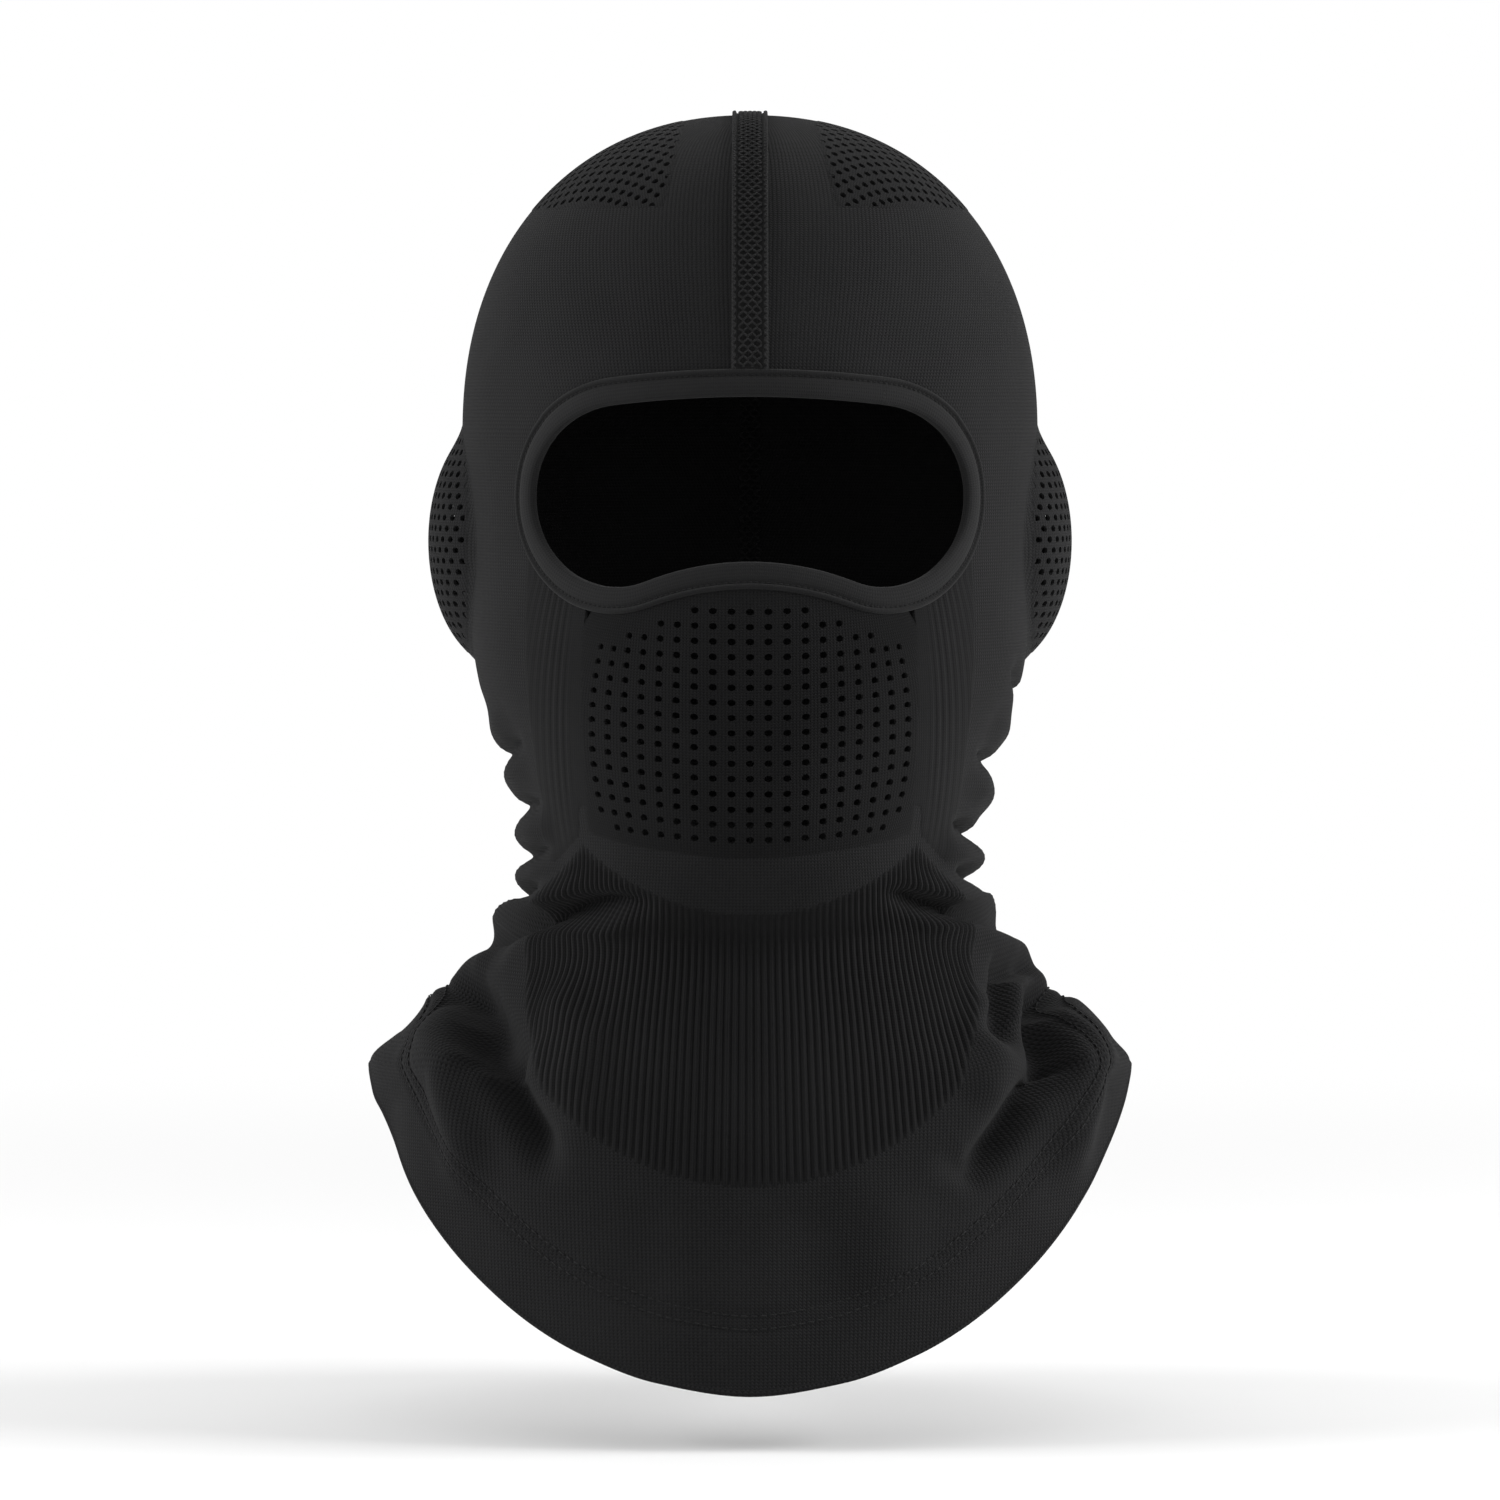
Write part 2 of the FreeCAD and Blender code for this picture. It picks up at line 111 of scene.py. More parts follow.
def drop_at(way):
    """How far below the crown a way is."""
    climb = np.clip(-way / CROWN_LENGTH, 0, 1) * math.pi / 2
    return np.where(way < 0, BROW_DROP - CROWN_RISE * np.sin(climb) ** (2 / CROWN_POWER), BROW_DROP + way)


def way_at(drop):
    """The way that lies at a drop."""
    step = np.clip((BROW_DROP - drop) / CROWN_RISE, 0, 1)
    climb = np.arcsin(step ** (CROWN_POWER / 2))
    return np.where(drop < BROW_DROP, -CROWN_LENGTH * climb * 2 / math.pi, drop - BROW_DROP)


def ellipse_at(way):
    """Half width, middle and half depth of the ellipse at a way."""
    climb = np.clip(-way / CROWN_LENGTH, 0, 1) * math.pi / 2
    shrink = np.cos(climb) ** (2 / CROWN_POWER)
    drop = np.maximum(drop_at(way), BROW_DROP)
    front, back = front_at(drop), back_at(drop)
    return side_at(drop) * shrink, (back - front) / 2, (front + back) / 2 * shrink


def form(turn, way):
    """Points of the bare form, in millimetres."""
    side, middle, depth = ellipse_at(way)
    drop = drop_at(way)
    across = side * np.sin(turn)
    along = middle - depth * np.cos(turn)
    span = 1 - ((along - EAR_BACK) / EAR_REACH) ** 2 - ((drop - EAR_DROP) / EAR_RISE) ** 2
    ear = np.where(span > 0, EAR_SIDE + EAR_BULGE * np.sqrt(np.maximum(span, 0)), 0)
    out = np.abs(across)
    mix = np.clip(0.5 + 0.5 * (ear - out) / EAR_BLEND, 0, 1) * (span > 0)
    out = out * (1 - mix) + ear * mix + EAR_BLEND * mix * (1 - mix)
    return np.stack(np.broadcast_arrays(np.copysign(out, across), along, -drop), -1)


# %% [markdown]
# ## Where the hem runs
#
# The front hangs in a deep, round bib and the back in a shallower one. Two curves give
# the hem's drop for each distance from the middle, and a few passes find where the
# form meets them.

# %% The hem line
HEM_SIDE = 106.2
HEM_FRONT = easy_curve(
    (-25, 0, 25, 44.8, 57.7, 75.2, 87.5, 97, 103.6, HEM_SIDE),
    (342.7, 346, 342.7, 336, 329.3, 315.8, 302.4, 287, 273, 264.5))
HEM_BACK = easy_curve((-40, 0, 40, 80, 96, HEM_SIDE), (311, 314, 311, 296, 282, 264.5))
FIRST_GUESS, PASSES = 290.0, 12


def hem_way(turn):
    """The way at which the cloth ends, for each turn."""
    drop = np.full(np.shape(turn), FIRST_GUESS)
    for _ in range(PASSES):
        out = np.minimum(np.abs(side_at(drop) * np.sin(turn)), HEM_SIDE)
        drop = np.where(np.cos(turn) > 0, HEM_FRONT(out), HEM_BACK(out))
    return drop - BROW_DROP


HEM_TURNS = np.linspace(-math.pi, math.pi, 721)
HEM_WAYS = hem_way(HEM_TURNS)
HEM_ARC = np.concatenate([[0], np.cumsum(np.linalg.norm(
    np.diff(form(HEM_TURNS, HEM_WAYS)[:, :2], axis=0), axis=1))])
HEM_RATE = np.gradient(HEM_ARC, HEM_TURNS)
HEM_SLOPE = np.gradient(HEM_WAYS, HEM_ARC)
print(f"hem: {np.linalg.norm(np.diff(form(HEM_TURNS, HEM_WAYS), axis=0), axis=1).sum():.0f} mm round")


def above_hem(turn, height):
    """Turn and way of the point that lies a height inside the hem's edge, square to it."""
    slope = np.interp(turn, HEM_TURNS, HEM_SLOPE)
    unit = 1 / np.sqrt(1 + slope ** 2)
    rate = np.interp(turn, HEM_TURNS, HEM_RATE)
    return turn + slope * unit * height / rate, np.interp(turn, HEM_TURNS, HEM_WAYS) - unit * height


def height_over_hem(turn, way):
    """About how far a point is from the hem's edge."""
    slope = np.interp(turn, HEM_TURNS, HEM_SLOPE)
    return (np.interp(turn, HEM_TURNS, HEM_WAYS) - way) / np.sqrt(1 + slope ** 2)


# %% [markdown]
# ## Folds
#
# Slack cloth gathers at the neck, and the bib drapes from the shoulders. A cloth
# simulation could find folds, but not the ones wanted here, so each fold is listed
# as a line of (turn in degrees, drop), with its height (negative for a valley) and
# width. The height falls off smoothly to both sides and towards the ends.

# %% Lay the folds
NECK_RADIUS = 76.0
FOLDS = [
    # right side of the wearer: small round gathers under the ear with sharp notches between
    (2.4, 5.2, ((-118, 176), (-92, 171.5), (-66, 166))),
    (-3.0, 2.0, ((-108, 181), (-86, 177.5), (-62, 171))),
    (2.6, 5.0, ((-122, 190), (-92, 184), (-64, 179))),
    (-3.6, 2.0, ((-112, 196), (-86, 192), (-60, 188))),
    (3.6, 4.8, ((-125, 204), (-92, 199.5), (-56, 195))),
    (-3.4, 1.8, ((-112, 209), (-86, 205.5), (-58, 201))),
    (3.6, 4.6, ((-122, 217), (-90, 211.5), (-54, 205.5))),
    (-4.2, 2.0, ((-112, 221), (-84, 217), (-60, 210.5))),
    (4.8, 4.6, ((-112, 228), (-88, 223), (-66, 216), (-44, 210.5))),
    (-6.4, 3.4, ((-104, 232), (-72, 225), (-50, 218), (-22, 215.5))),
    (2.2, 5.0, ((-70, 233), (-46, 225), (-26, 221.5))),
    # the same side of the drape: a flap with a deep valley in front of it
    (2.8, 6.0, ((-104, 240), (-86, 238), (-72, 235))),
    (-11.0, 4.0, ((-86, 239), (-62, 247), (-42, 258), (-33, 277), (-29, 294))),
    (6.4, 5.6, ((-96, 245), (-70, 251), (-52, 262), (-46, 280), (-44, 300))),
    (2.6, 6.0, ((-46, 237), (-29, 254), (-22, 282))),
    (-1.6, 7.0, ((-70, 268), (-67, 284), (-66, 300))),
    # left side of the wearer, seen on the right
    (-3.2, 2.4, ((106, 164), (88, 161), (70, 151))),
    (2.4, 5.0, ((116, 176), (92, 171), (68, 167))),
    (-3.4, 2.2, ((112, 184), (88, 180), (64, 175))),
    (3.4, 5.2, ((122, 195), (92, 189), (62, 182))),
    (-4.6, 2.0, ((112, 204), (88, 200), (60, 194))),
    (3.8, 4.6, ((120, 212), (92, 206.5), (54, 201))),
    (-4.8, 2.0, ((112, 216), (88, 212), (62, 206.5))),
    (4.6, 4.2, ((116, 226), (90, 219.5), (64, 214), (42, 209.5))),
    (-5.4, 2.8, ((106, 228), (78, 224), (56, 218), (33, 212))),
    (3.8, 4.6, ((100, 236), (80, 232), (62, 226), (40, 220))),
    (-7.0, 3.0, ((92, 237), (66, 236), (56, 245), (42, 258))),
    (4.4, 4.6, ((94, 241), (76, 239), (62, 246), (50, 255))),
    (-11.0, 3.8, ((90, 242), (69, 246), (57, 256), (46, 268), (39, 280), (34, 288), (26, 284))),
    (6.0, 6.0, ((98, 249), (76, 252), (61, 263), (55, 279), (51, 298))),
    (3.4, 5.0, ((56, 240), (44, 254), (34, 272))),
    # the back: slack under the skull and a soft drape over the shoulder blades
    (2.6, 5.0, ((140, 186), (165, 192), (196, 190))),
    (-2.4, 4.0, ((128, 196), (162, 202), (214, 197))),
    (3.4, 4.6, ((134, 206), (176, 211), (222, 205))),
    (-3.0, 4.0, ((138, 217), (170, 220), (206, 218))),
    (3.0, 4.6, ((146, 226), (188, 229), (226, 225))),
    (2.6, 7.0, ((112, 252), (126, 268), (134, 290))),
    (-3.2, 6.0, ((124, 248), (141, 266), (150, 290))),
    (2.4, 7.0, ((170, 246), (168, 270), (165, 300))),
    (-2.6, 6.0, ((198, 244), (205, 268), (212, 292))),
    (2.8, 7.0, ((216, 250), (226, 268), (230, 286))),
    (1.6, 9.0, ((184, 270), (186, 290), (187, 306))),
    # broad, soft waves low on the bib
    (-0.9, 6.0, ((-15, 292), (-15, 308), (-15.5, 324))),
    (0.8, 6.5, ((-9, 288), (-8, 306), (-7, 326))),
    (-0.8, 7.0, ((8, 292), (9.5, 310), (11, 326))),
    (0.9, 7.0, ((18, 286), (19, 304), (20.5, 320))),
    (-0.8, 7.0, ((27, 290), (27.5, 304), (28, 314))),
    # over the mouth: a shallow crease down the middle
    (-0.9, 8.0, ((1, 126), (1, 150), (0, 190))),
]


def fold_rise(turn, drop):
    """How far the folds push the cloth out or in."""
    turn, drop = np.broadcast_arrays(turn, drop)
    rise = np.zeros(turn.shape)
    for height, width, path in FOLDS:
        line = np.array([(math.radians(angle), level) for angle, level in path])
        middle = line[:, 0].mean()
        spots = np.stack([((turn - middle + math.pi) % (2 * math.pi) - math.pi) * NECK_RADIUS, drop], -1)
        line = np.stack([(line[:, 0] - middle) * NECK_RADIUS, line[:, 1]], -1)
        gone, total = 0.0, np.linalg.norm(np.diff(line, axis=0), axis=1).sum()
        nearest, share = np.full(turn.shape, 1e9), np.zeros(turn.shape)
        for start, end in zip(line, line[1:]):
            run = end - start
            u = np.clip(((spots - start) @ run) / (run @ run), 0, 1)
            distance = np.linalg.norm(spots - start - u[..., None] * run, axis=-1)
            length = math.hypot(*run)
            share = np.where(distance < nearest, (gone + u * length) / total, share)
            nearest = np.minimum(nearest, distance)
            gone += length
        end_fade = np.clip(np.minimum(share, 1 - share) * 4.5, 0, 1)
        rise += height * np.exp(-(nearest / width) ** 2) * end_fade * end_fade * (3 - 2 * end_fade)
    return rise


# %% [markdown]
# ## Cloth on the form
#
# Every zone asks one function for its points: the form, pushed along its own outward
# direction by the folds, by the sewn hem and by the zone's own lift. Because all zones
# ask the same function, they meet without gaps.

# %% The shared surface
THROAT_WAY = 138.0
HEM_ROWS = (20.6, 17.0)
HEM_PUFF, ROW_PULL = 0.35, 0.75


def hem_rise(turn, way):
    """The doubled hem stands a little proud and its stitch rows pull in."""
    height = height_over_hem(turn, way)
    body = HEM_PUFF * np.clip((HEM_ROWS[0] - height) / 2, 0, 1) * (way > THROAT_WAY)
    pull = sum(ROW_PULL * np.exp(-((height - row) / 1.0) ** 2) for row in HEM_ROWS)
    return body - pull * (way > THROAT_WAY)


def cloth_point(turn, way, lift=0.0):
    """Points of the cloth's outside in millimetres, and its outward directions."""
    turn, way, lift = np.broadcast_arrays(
        np.asarray(turn, float), np.asarray(way, float), np.asarray(lift, float))
    way = np.maximum(way, -CROWN_LENGTH + 0.8)
    down = form(turn, way + 0.3) - form(turn, way - 0.3)
    around = form(turn + 0.004, way) - form(turn - 0.004, way)
    out = np.cross(down, around)
    out /= np.linalg.norm(out, axis=-1, keepdims=True)
    push = fold_rise(turn, drop_at(way)) + hem_rise(turn, way) + lift
    return form(turn, way) + out * push[..., None], out


# %% [markdown]
# ## Outlines of the zones
#
# Zones are drawn flat, as seen from the front, the top or the side, with arcs through
# three points. A distance to the outline, positive inside, then says for any point
# which zone it is in and how far from the border it is.

# %% Draw outlines and measure from them
def arc(start, through, end, count=20):
    """Points on the arc that leaves start, passes through and stops before end."""
    start, through, end = (np.array(p, float) for p in (start, through, end))
    lhs = 2 * np.array([through - start, end - start])
    rhs = np.array([through @ through - start @ start, end @ end - start @ start])
    centre = np.linalg.solve(lhs, rhs)
    angles = [math.atan2(*(p - centre)[::-1]) for p in (start, through, end)]
    half, whole = ((angles[k] - angles[0]) % (2 * math.pi) for k in (1, 2))
    if half > whole:
        whole -= 2 * math.pi
    sweep = angles[0] + whole * np.arange(count) / count
    return centre + math.dist(start, centre) * np.stack([np.cos(sweep), np.sin(sweep)], -1)


def drawn(*steps):
    """A closed outline of corners and waypoints in turn; None is a straight run."""
    corners, waypoints = steps[::2], steps[1::2]
    runs = []
    for place, (corner, waypoint) in enumerate(zip(corners, waypoints)):
        following = corners[(place + 1) % len(corners)]
        runs.append([corner] if waypoint is None else arc(corner, waypoint, following))
    return np.concatenate([np.asarray(run, float) for run in runs])


def inside_by(points, outline, reach=12.0):
    """Distance from flat points to an outline: positive inside, never below -reach."""
    flat = points.reshape(-1, 2)
    near = np.all((flat > outline.min(0) - reach) & (flat < outline.max(0) + reach), axis=1)
    some = flat[near]
    best, odd = np.full(len(some), 1e9), np.zeros(len(some), bool)
    for a, b in zip(outline, np.roll(outline, -1, axis=0)):
        run = b - a
        u = np.clip(((some - a) @ run) / max(run @ run, 1e-9), 0, 1)
        best = np.minimum(best, np.linalg.norm(some - a - u[:, None] * run, axis=1))
        crosses = (a[1] > some[:, 1]) != (b[1] > some[:, 1])
        odd ^= crosses & (some[:, 0] < a[0] + (some[:, 1] - a[1]) * run[0] / (run[1] or 1e-9))
    result = np.full(len(flat), -reach)
    result[near] = np.maximum(np.where(odd, best, -best), -reach)
    return result.reshape(points.shape[:-1])


EYE_EDGE = drawn(
    (36, 79.2), (53.6, 88.2), (59.2, 105), (52.4, 121.6), (31, 128), (0, 121.2), (-31, 128), (-52.4, 121.6),
    (-59.2, 105), (-53.6, 88.2), (-36, 79.2), (0, 77))
MOUTH_EDGE = drawn(
    (44, 112), (47.6, 165), (45.4, 197), (0, 203), (-45.4, 197), (-47.6, 165), (-44, 112), None)
CHIN_EDGE = drawn((45.4, 190), None, (45.4, 198), (0, 216.6), (-45.4, 198), None, (-45.4, 190), None)
RIB_EDGE = drawn(
    (44, 196), (63, 240), (58, 267), (0, 292), (-58, 267), (-63, 240), (-44, 196), None)
CHEEK_EDGE = drawn((20, 108), None, (60.5, 108), (62, 158), (55, 206), None, (20, 206), None)
print(f"eye edge: {np.linalg.norm(np.diff(EYE_EDGE, axis=0), axis=1).sum():.0f} mm")


# %% Zone distances for any point of the cloth
VENT_DROP = 26.6
VENT_EDGE = drawn((25, -80), (17, -10), (25, 50), None, (120, 50), None, (120, -80), None)
EAR_EDGE = drawn((33, 118), (0, 150.5), (-29, 118), (0, 84.5))


def zone_depths(turn, way):
    """How deep points are inside each zone; a zone that isn't there is far away."""
    spots = form(turn, way)
    front = np.stack([spots[..., 0], -spots[..., 2]], -1)
    ahead = np.where(np.cos(turn) > 0, 0, 99)
    sided = np.stack([np.abs(spots[..., 0]), spots[..., 1]], -1)
    flank = np.stack([spots[..., 1], -spots[..., 2]], -1)
    mirrored = np.stack([np.abs(spots[..., 0]), -spots[..., 2]], -1)
    eye = inside_by(front, EYE_EDGE) - ahead
    mouth = inside_by(front, MOUTH_EDGE) - ahead
    chin = np.minimum(inside_by(front, CHIN_EDGE) - ahead, -mouth)
    off_chin = -inside_by(front, CHIN_EDGE)
    ribs = np.minimum(inside_by(front, RIB_EDGE) - ahead, np.minimum(off_chin, -mouth))
    beside_chin = np.minimum(-ribs, off_chin)
    cheek = np.minimum(inside_by(mirrored, CHEEK_EDGE) - ahead, beside_chin)
    crown = np.minimum(inside_by(sided, VENT_EDGE), (spots[..., 2] + VENT_DROP) * 1.35)
    ear = np.where(np.abs(spots[..., 0]) > 60, inside_by(flank, EAR_EDGE), -12)
    return {"eye": eye, "mouth": mouth, "chin": chin, "ribs": ribs,
            "cheek": cheek, "crown": crown, "ear": ear}


# %% [markdown]
# ## Knit and thread finishes
#
# Close up, plain knit is rows of small V shapes: columns called wales, and rows called
# courses. Both follow the cloth, so the pattern reads the piece's own UV map, where one
# unit is one metre of cloth. The V comes from shifting each course by how far a point
# is from the middle of its wale. The same recipe, with other pitches, makes all the
# finishes. Their colour is darker where the knit is low, which is painted shade between
# the loops, mixed with random mottle. The fibres catch light at grazing angles, which
# is what sheen is for.

# %% Node helpers
def link_math(tree, operation, *values):
    """One Math node; a value may be a number or another node's output."""
    node = tree.nodes.new("ShaderNodeMath")
    node.operation = operation
    for place, value in enumerate(values):
        if isinstance(value, (int, float)):
            node.inputs[place].default_value = value
        else:
            tree.links.new(value, node.inputs[place])
    return node.outputs[0]


def noise(tree, where, scale, detail=3.0):
    """One Noise Texture node's value at a place."""
    node = tree.nodes.new("ShaderNodeTexNoise")
    node.inputs["Scale"].default_value = scale
    node.inputs["Detail"].default_value = detail
    tree.links.new(where, node.inputs["Vector"])
    return node.outputs["Fac"]


def knit_with_painted_shade(
        name, dark, light, wale, course, relief, vee=1.0, rough=0.92, sheen=0.03, fuzz=0.5, turned=False):
    """A knit of near-black yarn, its colour darkened in the knit's low spots as painted shade: wale and
    course are pitches in metres, relief is the bump's height.
    """
    material = bpy.data.materials.new(name)
    material.use_nodes = True
    tree = material.node_tree
    shader = tree.nodes["Principled BSDF"]
    shader.inputs["Sheen Weight"].default_value = sheen
    shader.inputs["Sheen Roughness"].default_value = 0.45
    shader.inputs["Specular IOR Level"].default_value = 0.03
    place = tree.nodes.new("ShaderNodeTexCoord")
    split = tree.nodes.new("ShaderNodeSeparateXYZ")
    tree.links.new(place.outputs["UV"], split.inputs[0])
    across, along = split.outputs[0], split.outputs[1]
    if turned:
        across, along = along, across
    wander = link_math(tree, "MULTIPLY", link_math(
        tree, "SUBTRACT", noise(tree, place.outputs["Object"], 180.0), 0.5), 0.35)
    column = link_math(tree, "FRACT", link_math(tree, "ADD", link_math(tree, "DIVIDE", across, wale), wander))
    off = link_math(tree, "ABSOLUTE", link_math(tree, "SUBTRACT", column, 0.5))
    row = link_math(
        tree, "ADD", link_math(tree, "DIVIDE", along, course), link_math(tree, "MULTIPLY", off, vee))
    loops = link_math(tree, "MULTIPLY_ADD", link_math(
        tree, "SINE", link_math(tree, "MULTIPLY", row, 2 * math.pi)), 0.25, 0.25)
    body = link_math(tree, "COSINE", link_math(tree, "MULTIPLY", off, math.pi))
    height = link_math(tree, "ADD", link_math(tree, "MULTIPLY", body, 0.5), loops)
    fibres = noise(tree, place.outputs["Object"], 2600.0, 2.0)
    height = link_math(tree, "ADD", height, link_math(tree, "MULTIPLY", fibres, fuzz))
    bump = tree.nodes.new("ShaderNodeBump")
    bump.inputs["Strength"].default_value = 1.0
    bump.inputs["Distance"].default_value = relief
    tree.links.new(height, bump.inputs["Height"])
    tree.links.new(bump.outputs["Normal"], shader.inputs["Normal"])
    cloudy = noise(tree, place.outputs["Object"], 26.0)
    # Painted shade: the base colour is darker where the knit's height is low, between the loops, mixed with
    # random mottle from the cloudy noise.
    groove_shade_and_mottle = link_math(
        tree, "ADD", link_math(tree, "MULTIPLY", height, 0.55), link_math(tree, "MULTIPLY", cloudy, 0.45))
    ramp = tree.nodes.new("ShaderNodeValToRGB")
    ramp.color_ramp.elements[0].position = 0.25
    ramp.color_ramp.elements[0].color = (*dark, 1)
    ramp.color_ramp.elements[1].position = 0.85
    ramp.color_ramp.elements[1].color = (*light, 1)
    tree.links.new(groove_shade_and_mottle, ramp.inputs["Fac"])
    tree.links.new(ramp.outputs["Color"], shader.inputs["Base Color"])
    dull = link_math(tree, "MULTIPLY_ADD", cloudy, 0.12, rough - 0.06)
    tree.links.new(dull, shader.inputs["Roughness"])
    print("finish:", name)
    return material


PLAIN = knit_with_painted_shade(
    "plain_jersey", (0.0034, 0.0034, 0.0036), (0.0145, 0.0145, 0.0149), 0.0011, 0.0009, 0.00018)
# Painted shade: the mouth vent's knit is darker than the plain knit, standing in for the shade in the hollow
# over the mouth.
VENT = knit_with_painted_shade(
    "eyelet_jersey_shaded", (0.0024, 0.0024, 0.0025), (0.0098, 0.0098, 0.0101), 0.0009, 0.0008, 0.00014)
OPEN_KNIT = knit_with_painted_shade(
    "open_jersey", (0.0034, 0.0034, 0.0036), (0.0135, 0.0135, 0.0139), 0.0009, 0.0008, 0.00014)
# Painted shade: the rib knit is darker than the plain knit, standing in for the shade under the chin; the
# cheek ribs share it.
RIB = knit_with_painted_shade(
    "rib_knit", (0.0030, 0.0030, 0.0031), (0.0115, 0.0115, 0.0118), 0.0006, 0.00075, 0.00007)
BINDING = knit_with_painted_shade(
    "binding_jersey", (0.0060, 0.0060, 0.0062), (0.0165, 0.0165, 0.0168), 0.0008, 0.0007, 0.00008,
    rough=0.85, sheen=0.05)
THREAD = knit_with_painted_shade(
    "spun_thread", (0.006, 0.006, 0.0062), (0.021, 0.021, 0.0214), 0.0007, 0.0005, 0.00006,
    vee=2.0, rough=0.75, sheen=0.05, fuzz=0.3, turned=True)

# %% [markdown]
# ## From points to a piece of cloth
#
# Cloth has two faces and a cut edge. A Solidify modifier could give the thickness, but
# in tight folds it crosses itself, so the inner face is made from the same rule, one
# thickness lower, and the two faces are closed round their borders. Sharp edges are
# marked by angle so that the border doesn't smear the shading of the face.

# %% Close a sheet and name it
CLOTH = 1.0
SHARP_ANGLE = math.radians(55)


def close_sheet(faces, count):
    """Faces of a closed sheet: the outside, the inside turned round, and the rim between them."""
    edges = {}
    for face in faces:
        for a, b in zip(face, face[1:] + face[:1]):
            edges[a, b] = edges.get((a, b), 0) + 1
    rim = [(b, a, a + count, b + count) for a, b in edges if (b, a) not in edges]
    return faces + [tuple(v + count for v in reversed(face)) for face in faces] + rim


def make_piece(name, points, faces, uv, material, replaced, uv_faces=None):
    """A finished piece from points in millimetres, faces, and UVs in metres of cloth."""
    mesh = bpy.data.meshes.new(name)
    mesh.from_pydata((np.asarray(points) * MM).tolist(), [], faces)
    layer = mesh.uv_layers.new(name="cloth")
    corners = [v for face in (uv_faces or faces) for v in face]
    layer.data.foreach_set("uv", np.asarray(uv, np.float32)[corners].ravel())
    mesh.polygons.foreach_set("use_smooth", np.ones(len(faces), bool))
    mesh.set_sharp_from_angle(angle=SHARP_ANGLE)
    mesh.materials.append(material)
    mesh.validate()
    piece = bpy.data.objects.new(name, mesh)
    bpy.context.scene.collection.objects.link(piece)
    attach(piece, "root")
    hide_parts(*replaced)
    area = sum(polygon.area for polygon in mesh.polygons)
    print(f"{name}: {len(faces)} faces, {area * 1e4 / 2:.0f} cm2 a layer")
    return piece


def sheet_piece(
        name, turn, way, lift, faces, uv, material, replaced, uv_faces=None, thickness=CLOTH):
    """Cloth between the outside and one thickness below it, from flat lists of turn, way and lift."""
    outside, out = cloth_point(turn, way, lift)
    closed = close_sheet(faces, len(outside))
    points = np.concatenate([outside, outside - out * thickness])
    if uv_faces is None:
        return make_piece(name, points, closed, np.concatenate([uv, uv]), material, replaced)
    closed_uv = uv_faces + [tuple(reversed(face)) for face in uv_faces]
    closed_uv += [(uv_faces[0][0],) * 4] * (len(closed) - len(closed_uv))
    return make_piece(name, points, closed, uv, material, replaced, closed_uv)


# %% [markdown]
# ## The plain knit
#
# One grid is wrapped round the form, its last row on the hem. Its faces are shared out:
# the two halves of the hood either side of the seam, the chin, and the skirt below the
# throat. Where a vent or a rib panel lies, the grid is left out a little inside the
# border, and the panel dips under the grid's edge there.

# %% Share out the grid
COLUMNS = 400
TUCK = 2.4
EYE_CLEAR = 3.2
turns = np.linspace(-math.pi, math.pi, COLUMNS + 1)
row_ways = [np.full(COLUMNS + 1, w) for w in np.linspace(-CROWN_LENGTH + 1, 0, 76)]
row_ways += [np.full(COLUMNS + 1, w) for w in np.linspace(0, THROAT_WAY, 93)[1:]]
throat_row = len(row_ways) - 1
row_ways += [THROAT_WAY + (hem_way(turns) - THROAT_WAY) * f for f in np.linspace(0, 1, 71)[1:]]
ways = np.array(row_ways)
grid_turns = np.broadcast_to(turns, ways.shape)
arc_scale = np.interp(drop_at(ways), (0, 60, 88, 200, 226, 263, 352), (40, 76, 90, 74, 70, 96, 108))
grid_uv = np.stack([grid_turns * arc_scale, -ways], -1).reshape(-1, 2) * MM
centre_turn = (grid_turns[:-1, :-1] + grid_turns[1:, 1:]) / 2
centre_way = (ways[:-1, :-1] + ways[1:, 1:]) / 2
depths = zone_depths(centre_turn, centre_way)
taken = np.max([depths[k] for k in ("mouth", "ribs", "cheek", "crown", "ear")], axis=0) > TUCK
taken |= depths["eye"] > -EYE_CLEAR
in_chin = (depths["chin"] > 0) & ~taken
row_of = np.arange(ways.shape[0] - 1)[:, None] + np.zeros(COLUMNS, int)
left_side = np.arange(COLUMNS)[None, :] >= COLUMNS // 2
AREAS = {
    "hood_left_half": ~taken & ~in_chin & (row_of < throat_row) & left_side,
    "hood_right_half": ~taken & ~in_chin & (row_of < throat_row) & ~left_side,
    "chin_panel": in_chin & (row_of < throat_row),
    "neck_skirt": ~taken & (row_of >= throat_row),
}


